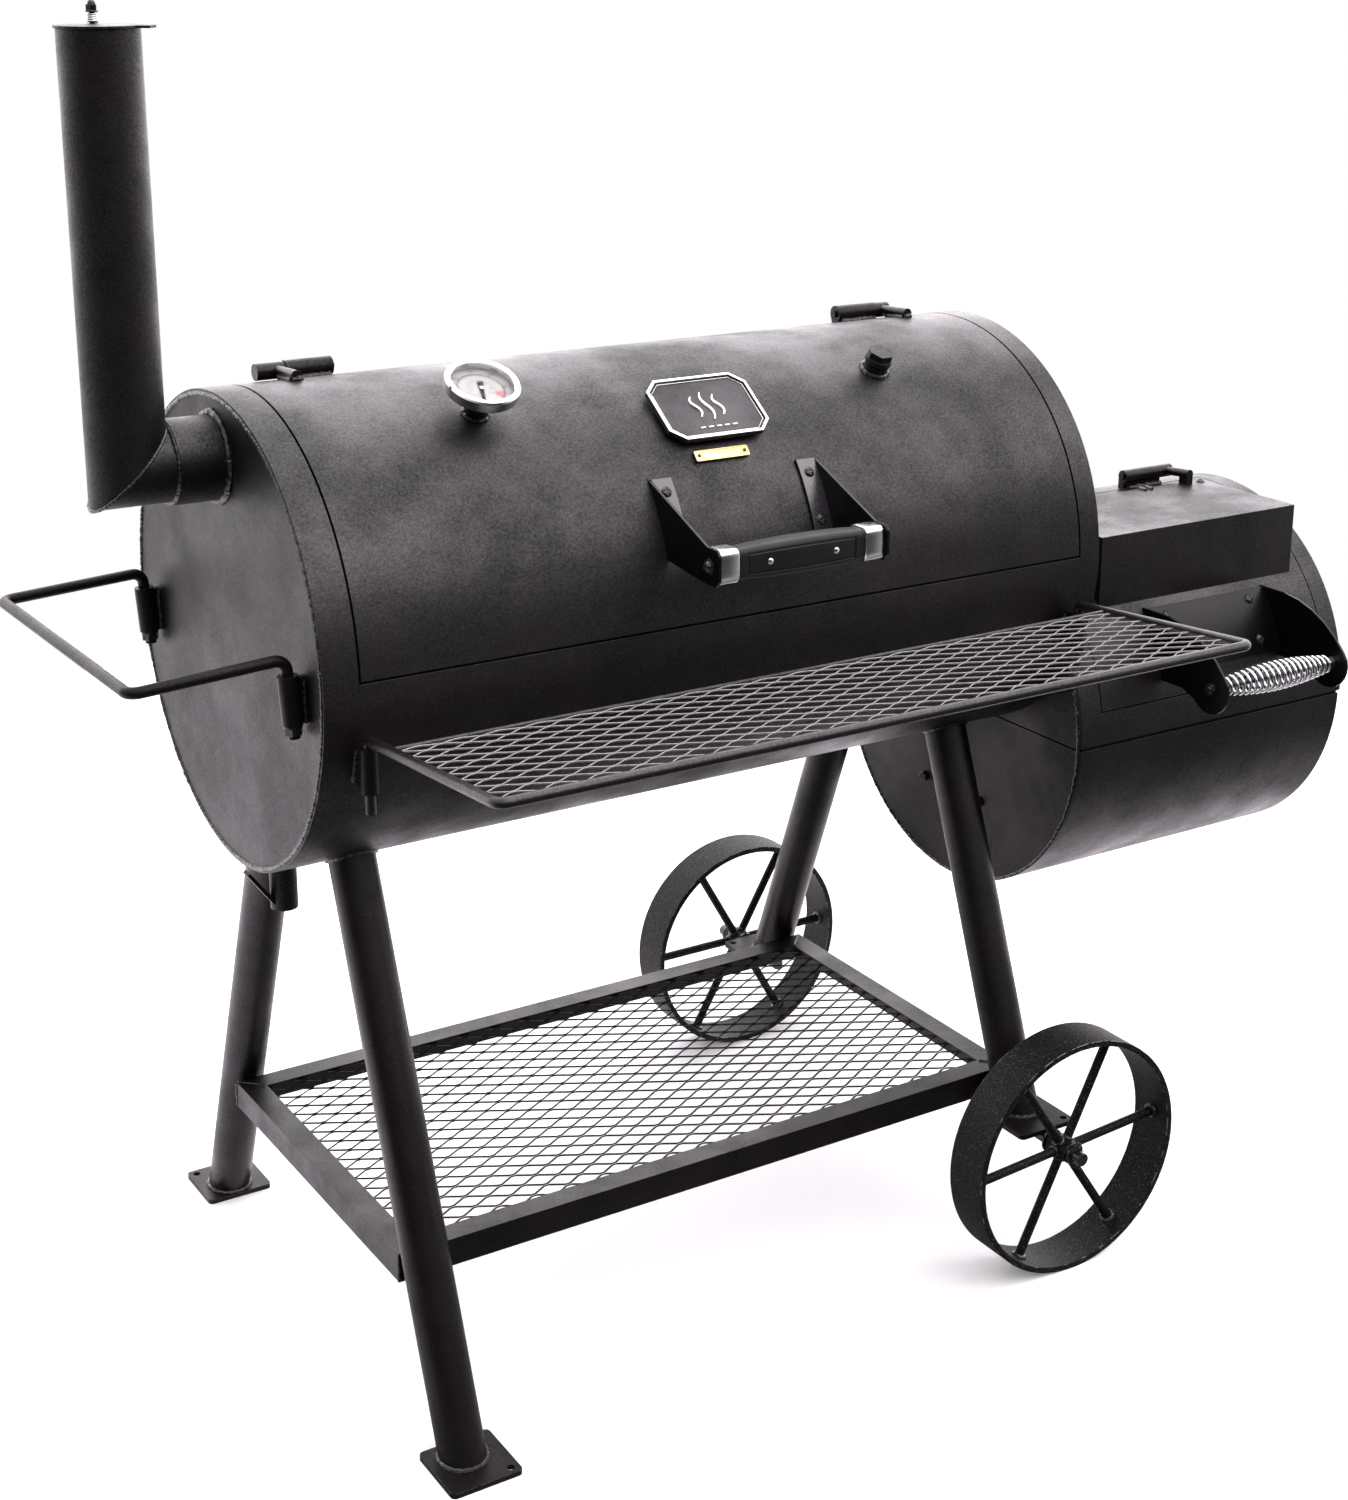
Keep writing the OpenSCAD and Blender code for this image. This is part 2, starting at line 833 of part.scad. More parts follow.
// cup, bezel and stem of the thermometer
module thermometer_case() place() color(bright)
  on_drum(therm_x, therm_a) {
    rotate_extrude()
      polygon([[0, 26], [4, 26], [9, 26.5], [36, 28], [38, 29], [39.5, 31], [39.5, 40], [38, 42], [34, 42],
        [32.5, 40.5], [32.5, 38.5], [35, 38.5], [35, 30], [0, 30]]);
    translate([0, 0, 18])
      hexagon(20, 8.2);
    translate([0, 0, -108])
      cylinder(r = 3.5, h = 127);
  }

module thermometer_dial() place() color("white")
  on_drum(therm_x, therm_a)
    translate([0, 0, 30])
      cylinder(r = 34.9, h = 1);

module thermometer_glass() place() color([0.8, 0.85, 0.9, 0.4])
  on_drum(therm_x, therm_a)
    translate([0, 0, 36.4])
      cylinder(r = 34.9, h = 2);

module thermometer_pointer() place() color(black)
  on_drum(therm_x, therm_a)
    translate([0, 0, 31.6]) {
      cylinder(r = 3.2, h = 2.2);
      rotate([0, 0, -106])
        translate([0, 0, 0.6])
          linear_extrude(0.8)
            polygon([[-9, -1.6], [25, -0.5], [25, 0.5], [-9, 1.6]]);
    }

// welded collars on the lid and the hex plug with its washer
module lid_fittings() place() color(black) {
  on_drum(therm_x, therm_a)
    difference() {
      translate([0, 0, -wall])
        cylinder(r = 12.5, h = 20.8);
      translate([0, 0, -50])
        cylinder(r = 3.6, h = 100);
      // the part inside the lid is only as wide as the hole
      difference() {
        translate([0, 0, -20])
          cylinder(r = 30, h = 20.35);
        translate([0, 0, -21])
          cylinder(r = 6, h = 22);
      }
    }
  on_drum(plug_x, plug_a) {
    translate([0, 0, -wall])
      cylinder(r = 6, h = 10);
    rotate_extrude()
      polygon([[0, 0.35], [14, 0.35], [14, 12.5], [15.5, 12.5], [15.5, 15], [14.3, 15], [14.3, 16.5],
        [15.5, 16.5], [15.5, 18.5], [0, 18.5]]);
    translate([0, 0, 18.5])
      hexagon(25, 8);
  }
}

// plain raised-edge plate, bolted to the lid
module badge_plate() place() color(black)
  on_drum(badge_x, badge_a) {
    // standoffs
    for (s = [-1, 1])
      translate([s * 40, 0, 0])
        cylinder(r = 5, h = 4);
    difference() {
      translate([0, 0, 4])
        linear_extrude(6)
          polygon([[-48, -44], [48, -44], [63, -29], [63, 29], [48, 44], [-48, 44], [-63, 29], [-63, -29]]);
      translate([0, 0, 7])
        linear_extrude(6)
          polygon([[-45, -39], [45, -39], [58, -26], [58, 26], [45, 39], [-45, 39], [-58, 26], [-58, -26]]);
    }
  }

module name_plate() place() color([0.80, 0.62, 0.25])
  on_drum(badge_x - 8, 41.5) {
    translate([-33.5, -6.5, 2.2])
      cube([67, 13, 2]);
    for (s = [-1, 1])
      translate([s * 27, 0, 0])
        cylinder(r = 1.8, h = 4.8, $fn = 24);
  }

// side plate of the lid handle, with its screwed flange on the inner side
module handle_bracket(x0, s) {
  difference() {
    union() {
      yz_plate(x0, 3) {
        polygon([
          [-R * cos(38), H + R * sin(38)],
          [grip_y + 4, grip_z + 19.5],
          [grip_y - 14, grip_z + 19.5],
          [grip_y - 19, grip_z + 14],
          [grip_y - 19, grip_z - 12],
          [grip_y - 12, grip_z - 19.5],
          [grip_y + 20, grip_z - 18],
          [-R * cos(18), H + R * sin(18)],
          [-(R - 30) * cos(20), H + (R - 30) * sin(20)],
          [-(R - 30) * cos(37), H + (R - 30) * sin(37)]
        ]);
      }
      sector(R - 6, R + 3, s > 0 ? x0 + 1 : x0 - 24, s > 0 ? x0 + 27 : x0 + 2, 18.6, 37.4);
    }
    xcyl(x0 - 40, x0 + 40, R + 0.05, 0, H);
    xcyl(x0 - 1, x0 + 4, 4.1, grip_y, grip_z);
    for (a = [33.6, 21.6])
      on_drum(s > 0 ? screw_x0 : screw_x1, a)
        translate([0, 0, -5])
          cylinder(r = 2.6, h = 20);
  }
}

module handle_brackets() place() color(black) {
  handle_bracket(392, 1);
  handle_bracket(600, -1);
}

// half-heights along the grip, which bulges in the middle
grip_bulge = [[0, 15.6], [12, 16.9], [39, 18.2], [78.5, 18.9], [118, 18.2], [145, 16.9], [157, 15.6]];
grip_len = 157;

// outline that is as wide at each station as the grip is thick
module grip_outline() {
  last = len(grip_bulge) - 1;
  polygon([for (p = grip_bulge) p, for (i = [0 : last]) [grip_bulge[last - i][0], -grip_bulge[last - i][1]]]);
}

// bulging grip of rounded-square section with a through hole for its rod
module handle_grip() place() color(black)
  translate([395 + 24, grip_y, grip_z])
    difference() {
      intersection() {
        translate([0, 0, -30])
          linear_extrude(60)
            grip_outline();
        translate([0, 30, 0])
          rotate([90, 0, 0])
            linear_extrude(60)
              grip_outline();
        rotate([0, 90, 0])
          rotate_extrude()
            polygon([for (p = grip_bulge) [p[1] * 1.17, p[0]], [0, grip_len], [0, 0]]);
      }
      translate([-1, 0, 0])
        rotate([0, 90, 0])
          cylinder(r = 4.2, h = grip_len + 2);
    }

// end ferrules and the rod through the grip, with its bolt heads
module handle_ferrules() place() color(bright)
  translate([0, grip_y, grip_z]) {
    for (x = [395, 576])
      difference() {
        intersection() {
          translate([x, -15.9, -15.9])
            cube([24, 31.8, 31.8]);
          translate([x, 0, 0])
            rotate([0, 90, 0])
              rotate_extrude()
                polygon([[0, 0], [17.4, 0], [18.6, 1.2], [18.6, 22.8], [17.4, 24], [0, 24]]);
        }
        translate([x - 1, 0, 0])
          rotate([0, 90, 0])
            cylinder(r = 4, h = 26);
      }
    rotate([0, 90, 0]) {
      translate([0, 0, 389])
        cylinder(r = 4, h = 217);
      for (x = [386, 603])
        translate([0, 0, x])
          hexagon(13, 6);
    }
  }

// screws of the handle brackets
module lid_screws() place() color(steel)
  for (x = [screw_x0, screw_x1], a = [33.6, 21.6])
    on_drum(x, a, R + 3)
      dome_bolt(6.4, 3.2, 2.5, 8);

// ---------- firebox door ----------
module firebox_door() place() color(black)
  difference() {
    union() {
      difference() {
        sector(R2 - wall, R2, door_x0 + 1.5, door_x1 - 1.5, 10.2, 93, H2);
        sector(R2 - 12, R2 + 12, box_x0 + wall, box_x1 - wall, 41.5, 86.5, H2);
      }
      // flat-topped box standing on the curved sheet
      difference() {
        translate([box_x0, box_y0, 720])
          cube([box_x1 - box_x0, box_y1 - box_y0, box_z - 720]);
        translate([box_x0 + wall, box_y0 + wall, 700])
          cube([box_x1 - box_x0 - 2 * wall, box_y1 - box_y0 + 10, box_z - wall - 700]);
        xcyl(box_x0 - 1, box_x1 + 1, R2 - 0.5, 0, H2);
      }
    }
    for (x = [wing_x0 + 30, wing_x1 - 29], a = [34, 21.3])
      on_drum(x, a, R2, H2)
        translate([0, 0, -8])
          cylinder(r = 3.1, h = 20);
    for (x = [box_x0 + 10, box_x1 - 10])
      translate([x, -22, box_z - 6])
        cylinder(r = 2.6, h = 10);
  }

module door_arm(x0, len, stub_x) {
  difference() {
    union() {
      xcyl(x0, x0 + len, 8.5, door_hy, door_hz);
      translate([stub_x, door_hy, door_hz])
        rotate([90 - 5, 0, 0])
          cylinder(r = 5.5, h = 48);
      translate([stub_x - 5, -28, box_z])
        cube([10, 15, 12]);
    }
    translate([x0 - 20, -80, box_z - 20])
      cube([len + 60, 80, 20]);
    xcyl(x0 - 20, x0 + len + 20, R2, 0, H2);
  }
}

module door_hinge_arms() place() color(black) {
  door_arm(1320.5, 17, 1330);
  xcyl(1253, 1321, 4, door_hy, door_hz);
  door_arm(1070.5, 17, 1078);
  xcyl(1087, 1155, 4, door_hy, door_hz);
}

// point of the YZ plane at angle a on a circle, measured from the front over the top
function yz_point(y, z, r, a) = [y - r * cos(a), z + r * sin(a)];

// convex upper edge running down into a large round lobe about the coil's rod
module wing_outline() {
  edge_y = -221.5;
  edge_r = 145.5;
  lobe_r = 31;
  polygon([
    yz_point(0, H2, R2, 38),
    for (a = [86 : -9.2 : 40]) yz_point(edge_y, H2 + 1, edge_r, a),
    for (a = [20 : -16 : -140]) yz_point(coil_y + 6, coil_z - 2, lobe_r, a),
    yz_point(0, H2, R2 + 34, 13.7),
    yz_point(0, H2, R2 + 2, 15.5),
    yz_point(0, H2, R2 - 20, 17),
    yz_point(0, H2, R2 - 20, 37)
  ]);
}

module door_wing(x0)
  difference() {
    yz_plate(x0, 3)
      wing_outline();
    xcyl(x0 - 1, x0 + 4, 4.1, coil_y, coil_z);
  }

// bent sheet bracket: a curved back plate between two side wings
module door_handle_bracket() place() color(black)
  difference() {
    union() {
      sector(R2 - 6, R2 + 3, wing_x0 + 1, wing_x1 + 2, 17.4, 37.3, H2);
      door_wing(wing_x0);
      door_wing(wing_x1);
    }
    xcyl(wing_x0 - 5, wing_x1 + 8, R2 + 0.05, 0, H2);
    for (x = [wing_x0 + 30, wing_x1 - 29], a = [34, 21.3])
      on_drum(x, a, R2, H2)
        translate([0, 0, -5])
          cylinder(r = 3.1, h = 20);
  }

// rod through the wings with its nuts, and the barrel-shaped coil on it
module door_handle_spring() place() color(bright)
  translate([0, coil_y, coil_z])
    rotate([0, 90, 0]) {
      translate([0, 0, wing_x0 - 9])
        cylinder(r = 4, h = wing_x1 + 3 - wing_x0 + 18);
      for (x = [wing_x0 - 6, wing_x1 + 3])
        translate([0, 0, x])
          hexagon(13, 6);
      for (x = [wing_x0 + 3, wing_x1 - 10])
        translate([0, 0, x])
          cylinder(r = 8, h = 10);
      for (i = [0 : 18])
        translate([0, 0, wing_x0 + 17 + i * 9.24])
          rotate_extrude($fn = 40)
            translate([9.5 + 7.5 * sin(180 * i / 18), 0])
              circle(r = 1.9, $fn = 16);
    }

// dome bolts through the door: handle bracket and the box's rear corners
module door_bolts() place() color(steel) {
  for (x = [wing_x0 + 30, wing_x1 - 29], a = [34, 21.3])
    on_drum(x, a, R2 + 3, H2)
      dome_bolt(6.4, 3.4, 3, 10);
  for (x = [box_x0 + 10, box_x1 - 10])
    translate([x, -22, box_z])
      dome_bolt(5.5, 3, 2.5, 7);
}

// ---------- grates ----------
module grate(x0, w, y0, y1, z, n) {
  for (y = [y0, y1 - 6])
    translate([x0, y, z])
      cube([w, 6, 6]);
  for (x = [x0, x0 + w - 6])
    translate([x, y0 + 6, z])
      cube([6, y1 - y0 - 12, 6]);
  for (i = [1 : n])
    ycyl(y0 + 6, y1 - 6, 2.5, x0 + i * w / (n + 1), z + 3);
}

module grate_left() place() color(black) grate(9, 314, -233, 233, 792, 13);
module grate_middle() place() color(black) grate(327, 314, -233, 233, 792, 13);
module grate_right() place() color(black) grate(645, 314, -233, 233, 792, 13);

module charcoal_grate() place() color(black)
  grate(FX0 + 12, fb_len - 26, -165, 165, 482, 15);

drum_shell();
drum_cap_left();
drum_cap_right();
lid_lip();
drum_hinge_knuckles();
grate_ledges();
chimney_collar();
chimney_elbow();
chimney_pipe();
damper_bolt();
damper_spring();
damper_cap();
bail_sockets();
bail_handle();
bail_nuts();
shelf_sockets();
drain_pipe();
bucket_hook();
leg_front_left();
leg_rear_left();
leg_front_right();
leg_rear_right();
foot_plates();
axle_plates();
axles();
bottom_shelf_frame();
bottom_mesh();
shelf_lugs();
firebox_lower();
firebox_upper();
firebox_bolts();
charcoal_ledges();
intake_shutter();
intake_bolt();
lid_panel();
lid_hinge_arms();
thermometer_case();
thermometer_dial();
thermometer_glass();
thermometer_pointer();
lid_fittings();
badge_plate();
name_plate();
handle_brackets();
handle_grip();
handle_ferrules();
lid_screws();
firebox_door();
door_hinge_arms();
door_handle_bracket();
door_handle_spring();
door_bolts();
front_shelf_rods();
front_shelf_mesh();
grate_left();
grate_middle();
grate_right();
charcoal_grate();
wheel_front();
wheel_rear();
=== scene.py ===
import json
from math import atan2, copysign, cos, degrees, pi, radians, sin, sqrt

import bmesh
import bpy
from mathutils import Matrix, Vector, noise


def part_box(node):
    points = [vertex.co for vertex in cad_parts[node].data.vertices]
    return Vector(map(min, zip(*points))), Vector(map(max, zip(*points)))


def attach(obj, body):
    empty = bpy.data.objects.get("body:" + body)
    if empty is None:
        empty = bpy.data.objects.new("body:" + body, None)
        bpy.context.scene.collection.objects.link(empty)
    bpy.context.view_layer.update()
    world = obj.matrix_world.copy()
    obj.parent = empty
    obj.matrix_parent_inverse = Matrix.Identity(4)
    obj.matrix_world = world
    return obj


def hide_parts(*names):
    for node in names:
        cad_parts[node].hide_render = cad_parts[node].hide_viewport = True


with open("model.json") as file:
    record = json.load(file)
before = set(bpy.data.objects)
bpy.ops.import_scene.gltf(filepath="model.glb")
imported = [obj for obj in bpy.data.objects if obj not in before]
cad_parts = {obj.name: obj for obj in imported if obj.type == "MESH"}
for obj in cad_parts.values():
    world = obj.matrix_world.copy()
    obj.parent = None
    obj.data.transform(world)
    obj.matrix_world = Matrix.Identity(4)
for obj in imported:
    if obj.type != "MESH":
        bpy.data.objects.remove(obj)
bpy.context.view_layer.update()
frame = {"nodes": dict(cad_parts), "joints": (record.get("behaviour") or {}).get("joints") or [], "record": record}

NODES = frame["nodes"]
JOINTS = {j["name"]: j for j in frame["joints"]}
CAD_SLOT = {s["node"]: s["material_slot"] for s in frame["record"]["subparts"]}
noise.seed_set(5)  # noise_vector shakes the weld beads, and would start from the clock without a seed


def at(x, y, z):
    return Matrix.Translation((x, y, z))


def turns(steps):
    """The angles of evenly spread points round a circle."""
    return [2 * pi * k / steps for k in range(steps)]


# ---------- places read from the frame ----------
def middle(node):
    lo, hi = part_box(node)
    return (lo + hi) / 2


def islands(node):
    """(lowest corner, highest corner) of each separate solid of a CAD node, sorted by x, then y, then z."""
    mesh = NODES[node].data
    parent, place = {}, {}

    def root(i):
        while parent[i] != i:
            parent[i] = parent[parent[i]]
            i = parent[i]
        return i

    keys = []
    for v in mesh.vertices:
        key = tuple(round(c * 1e5) for c in v.co)
        keys.append(place.setdefault(key, len(place)))
        parent.setdefault(keys[-1], keys[-1])
    for p in mesh.polygons:
        first = root(keys[p.vertices[0]])
        for i in p.vertices[1:]:
            parent[root(keys[i])] = first
    boxes = {}
    for v in mesh.vertices:
        lo, hi = boxes.setdefault(root(keys[v.index]), (v.co.copy(), v.co.copy()))
        for k in range(3):
            lo[k], hi[k] = min(lo[k], v.co[k]), max(hi[k], v.co[k])
    return sorted(boxes.values(), key=lambda box: tuple(round(c, 4) for c in box[0]))


DRUM_LO, DRUM_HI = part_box("drum_shell")
DRUM_R = (DRUM_HI.y - DRUM_LO.y) / 2
DRUM_Y = (DRUM_HI.y + DRUM_LO.y) / 2
DRUM_Z = (DRUM_HI.z + DRUM_LO.z) / 2
FB_LO, FB_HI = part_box("firebox_upper")
FB_R = (FB_HI.y - FB_LO.y) / 2
FB_Z = FB_HI.z - FB_R


def on_shell(x, angle, radius=DRUM_R, z=DRUM_Z):
    """A frame on a drum: +Z outward, +Y up the slope. The angle is in degrees, from the front over the top."""
    a = radians(angle)
    spot = Vector((x, DRUM_Y - radius * cos(a), z + radius * sin(a)))
    return at(*spot) @ Matrix.Rotation(pi / 2 - a, 4, "X")


def shell_angle(point, z=DRUM_Z):
    return degrees(atan2(point.z - z, DRUM_Y - point.y))


# ---------- node materials ----------
def add_node(tree, kind, inputs, props):
    """A node with its properties set and its inputs linked or filled."""
    node = tree.nodes.new(kind)
    for key, value in props.items():
        setattr(node, key, value)
    for key, value in dict(inputs).items():
        if isinstance(value, bpy.types.NodeSocket):
            tree.links.new(value, node.inputs[key])
        else:
            node.inputs[key].default_value = value
    return node


class Nodes:
    """A short way to write a node material."""

    def __init__(self, name):
        self.mat = bpy.data.materials.new(name)
        self.mat.use_nodes = True
        self.tree = self.mat.node_tree
        self.bsdf = self.tree.nodes["Principled BSDF"]
        self.coord = self.add("ShaderNodeTexCoord").outputs["Object"]

    def add(self, kind, inputs=(), **props):
        return add_node(self.tree, kind, inputs, props)

    def noise(self, scale, detail=2.0, rough=0.5, stretch=None):
        coord = self.coord
        if stretch:
            coord = self.add("ShaderNodeMapping", {"Vector": coord, "Scale": stretch}).outputs[0]
        inputs = {"Vector": coord, "Scale": scale, "Detail": detail, "Roughness": rough}
        return self.add("ShaderNodeTexNoise", inputs).outputs["Fac"]

    def voronoi(self, scale):
        return self.add("ShaderNodeTexVoronoi", {"Vector": self.coord, "Scale": scale}).outputs["Distance"]

    def ramp(self, value, low, high, out_low=0.0, out_high=1.0):
        made = self.add(
            "ShaderNodeMapRange",
            {"Value": value, "From Min": low, "From Max": high, "To Min": out_low, "To Max": out_high},
            clamp=True,
        )
        return made.outputs["Result"]

    def math(self, kind, a, b=0.0):
        return self.add("ShaderNodeMath", {0: a, 1: b}, operation=kind).outputs[0]

    def mix(self, share, a, b):
        node = self.add("ShaderNodeMix", {"Factor": share}, data_type="RGBA")
        for socket, value in ((node.inputs[6], a), (node.inputs[7], b)):
            if isinstance(value, bpy.types.NodeSocket):
                self.tree.links.new(value, socket)
            else:
                socket.default_value = (*value, 1.0)
        return node.outputs[2]

    def bump(self, height, depth, normal=None):
        inputs = {"Height": height, "Distance": depth, "Strength": 1.0}
        if normal is not None:
            inputs["Normal"] = normal
        return self.add("ShaderNodeBump", inputs).outputs[0]

    def edge(self, radius):
        """1 on an outer edge within the radius, 0 elsewhere."""
        round_normal = self.add("ShaderNodeBevel", {"Radius": radius}, samples=4).outputs[0]
        flat_normal = self.add("ShaderNodeNewGeometry").outputs["Normal"]
        dot = self.add("ShaderNodeVectorMath", {0: round_normal, 1: flat_normal}, operation="DOT_PRODUCT")
        return self.ramp(dot.outputs["Value"], 0.97, 0.85), round_normal

    def set(self, **values):
        for key, value in values.items():
            socket = self.bsdf.inputs[key.replace("_", " ")]
            if isinstance(value, bpy.types.NodeSocket):
                self.tree.links.new(value, socket)
            elif socket.type == "RGBA":
                socket.default_value = (*value, 1.0)
            else:
                socket.default_value = value
        return self.mat


def painted(name, base, rough, grit=0.00034, speck=0.5, wear=0.0, sheet=0.0006, bevel=0.0009, shine=0.62,
            cloudy=1.0, shade_x_span=None, shade_spot=None):
    """High-heat paint sprayed on steel: fine grit, light specks, cloudy gloss and edges worn to the metal.

    A metal share under black paint dulls its shine, which gives the grain. Painted shade: a pair of x places
    between which the paint turns dull and dark, and a place round which it turns dull and dark, with how far that
    reaches.
    """
    n = Nodes(name)
    fine = n.noise(2600, 3.0, 0.65)
    grains = n.noise(360, 4.0, 0.75)
    cloud = n.noise(8, 6.0, 0.62)
    patches = n.noise(19, 5.0, 0.6)
    broad = n.noise(2.2, 2.0)
    dots = n.ramp(n.noise(430, 3.0, 0.7), 0.52, 0.70)
    dots = n.math("MULTIPLY", dots, n.ramp(patches, 0.38, 0.64, 0.3, 1.0))
    warm = tuple(c * k + e * cloudy for c, k, e in zip(base, (2.0, 1.4, 1.7), (0.0032, 0.0018, 0.0024)))
    lighter = tuple(min(1.0, c * 2.6 + 0.016) for c in base)
    colour = n.mix(n.math("MULTIPLY", n.ramp(cloud, 0.40, 0.64), cloudy), base, warm)
    colour = n.mix(n.math("MULTIPLY", dots, speck), colour, lighter)
    edge, rounded = n.edge(bevel)
    patchy = n.ramp(n.noise(220, 4.0, 0.7), 0.42, 0.62)
    worn = n.math("MULTIPLY", edge, n.math("MULTIPLY", patchy, wear))
    colour = n.mix(worn, colour, (0.16, 0.15, 0.145))
    swing = 0.085 * cloudy + 0.02
    gloss = n.ramp(cloud, 0.36, 0.66, rough + swing * 0.8, rough - swing)
    gloss = n.math("ADD", gloss, n.ramp(grains, 0.3, 0.7, -0.06, 0.06))
    gloss = n.math("ADD", gloss, n.ramp(patches, 0.36, 0.66, 0.04 * cloudy, -0.05 * cloudy))
    gloss = n.math("SUBTRACT", gloss, n.math("MULTIPLY", worn, 0.12))
    height = n.math("ADD", n.math("MULTIPLY", fine, 0.00004), n.math("MULTIPLY", broad, sheet))
    height = n.math("ADD", height, n.math("MULTIPLY", grains, grit))
    normal = n.bump(height, 1.0, rounded)
    dull = n.math("MULTIPLY", n.ramp(grains, 0.38, 0.62), 0.42 * min(1.0, grit / 0.0003))
    dull = n.math("ADD", dull, n.ramp(cloud, 0.38, 0.64, 0.26 * cloudy, 0.0))
    # painted shade: the paint turns dull and dark between two x places
    if shade_x_span:
        x = n.add("ShaderNodeSeparateXYZ", {0: n.coord}).outputs["X"]
        dull = n.math("MAXIMUM", dull, n.ramp(x, shade_x_span[0], shade_x_span[1], 0.0, 0.72))
    # painted shadow: the paint turns dull and dark round a spot
    if shade_spot:
        centre, reach = shade_spot
        away = n.add("ShaderNodeVectorMath", {0: n.coord, 1: centre}, operation="DISTANCE").outputs["Value"]
        dull = n.math("MAXIMUM", dull, n.ramp(away, reach * 0.45, reach, 0.80, 0.0))
    return n.set(
        Base_Color=colour, Metallic=dull, Roughness=gloss, Normal=normal, IOR=1.52, Specular_IOR_Level=shine
    )


def rough_paint(name, base):
    """Thick rough paint over rolled steel, chipped along the edges."""
    n = Nodes(name)
    lumps = n.noise(420, 5.0, 0.75)
    pits = n.voronoi(300)
    cloud = n.noise(16, 4.0, 0.6)
    dots = n.ramp(n.noise(520, 3.0, 0.7), 0.59, 0.66)
    edge, rounded = n.edge(0.0022)
    chips = n.math("MULTIPLY", edge, n.ramp(n.noise(60, 4.0, 0.7), 0.52, 0.58))
    colour = n.mix(n.ramp(cloud, 0.4, 0.7), base, tuple(c * 1.6 for c in base))
    colour = n.mix(n.math("MULTIPLY", dots, 0.7), colour, (0.15, 0.145, 0.14))
    colour = n.mix(chips, colour, (0.42, 0.41, 0.40))
    height = n.math("ADD", n.math("MULTIPLY", lumps, 0.0006), n.math("MULTIPLY", pits, 0.0002))
    gloss = n.ramp(lumps, 0.3, 0.7, 0.36, 0.62)
    normal = n.bump(height, 1.0, rounded)
    return n.set(Base_Color=colour, Roughness=gloss, Normal=normal, IOR=1.5, Specular_IOR_Level=0.13)


def bare_metal(name, base, rough, brushed=(1, 1, 1), scale=900, smut=0.25, dark=0.4):
    """Steel, chrome or brass with fine scratches, and darker smut where it has dulled."""
    n = Nodes(name)
    scratch = n.noise(scale, 3.0, 0.6, stretch=brushed)
    stain = n.ramp(n.noise(60, 4.0, 0.65), 0.45, 0.75)
    shade = n.math("MULTIPLY", stain, smut)
    colour = n.mix(shade, base, tuple(c * dark for c in base))
    gloss = n.ramp(scratch, 0.3, 0.7, rough * 0.75, rough * 1.3)
    gloss = n.math("ADD", gloss, n.math("MULTIPLY", shade, 0.25))
    rounded = n.edge(0.0004)[1]
    normal = n.bump(n.math("MULTIPLY", scratch, 0.00002), 1.0, rounded)
    return n.set(Base_Color=colour, Metallic=1.0, Roughness=gloss, Normal=normal)


def weld_metal(name, base, tint):
    """Painted weld bead: glossy ripples with a little heat tint left at the toes."""
    n = Nodes(name)
    lumps = n.noise(500, 4.0, 0.7)
    patch = n.ramp(n.noise(45, 3.0, 0.6), 0.45, 0.7)
    glint = n.ramp(n.noise(330, 3.0, 0.7), 0.60, 0.66)
    colour = n.mix(patch, base, tint)
    colour = n.mix(n.math("MULTIPLY", glint, 0.55), colour, (0.26, 0.25, 0.245))
    gloss = n.ramp(lumps, 0.3, 0.7, 0.18, 0.36)
    normal = n.bump(n.math("MULTIPLY", lumps, 0.0005), 1.0)
    return n.set(Base_Color=colour, Roughness=gloss, Normal=normal, IOR=1.6)


def moulded(name, base, rough, shine=0.5):
    """Matte moulded plastic with a fine stipple."""
    n = Nodes(name)
    stipple = n.noise(3000, 2.0, 0.6)
    cloud = n.noise(30, 3.0, 0.6)
    colour = n.mix(n.ramp(cloud, 0.4, 0.7), base, tuple(c * 1.4 for c in base))
    gloss = n.ramp(cloud, 0.3, 0.7, rough - 0.06, rough + 0.06)
    normal = n.bump(n.math("MULTIPLY", stipple, 0.00005), 1.0, n.edge(0.0006)[1])
    return n.set(Base_Color=colour, Roughness=gloss, Normal=normal, IOR=1.5, Specular_IOR_Level=shine)


def printed(name, base, rough=0.5):
    """Printed or enamelled dial paint with a slight mottle."""
    n = Nodes(name)
    mottle = n.noise(400, 3.0)
    colour = n.mix(n.ramp(mottle, 0.35, 0.7), base, tuple(c * 0.94 for c in base))
    return n.set(Base_Color=colour, Roughness=n.ramp(mottle, 0.3, 0.7, rough - 0.05, rough + 0.08))


def lens_glass(name):
    """Thin clear lens with a few smudges."""
    n = Nodes(name)
    smudge = n.noise(70, 3.0, 0.6)
    gloss = n.ramp(smudge, 0.4, 0.75, 0.02, 0.12)
    clear = (0.97, 0.98, 0.98)
    return n.set(Base_Color=clear, Roughness=gloss, IOR=1.45, Transmission_Weight=1.0, Alpha=0.03)


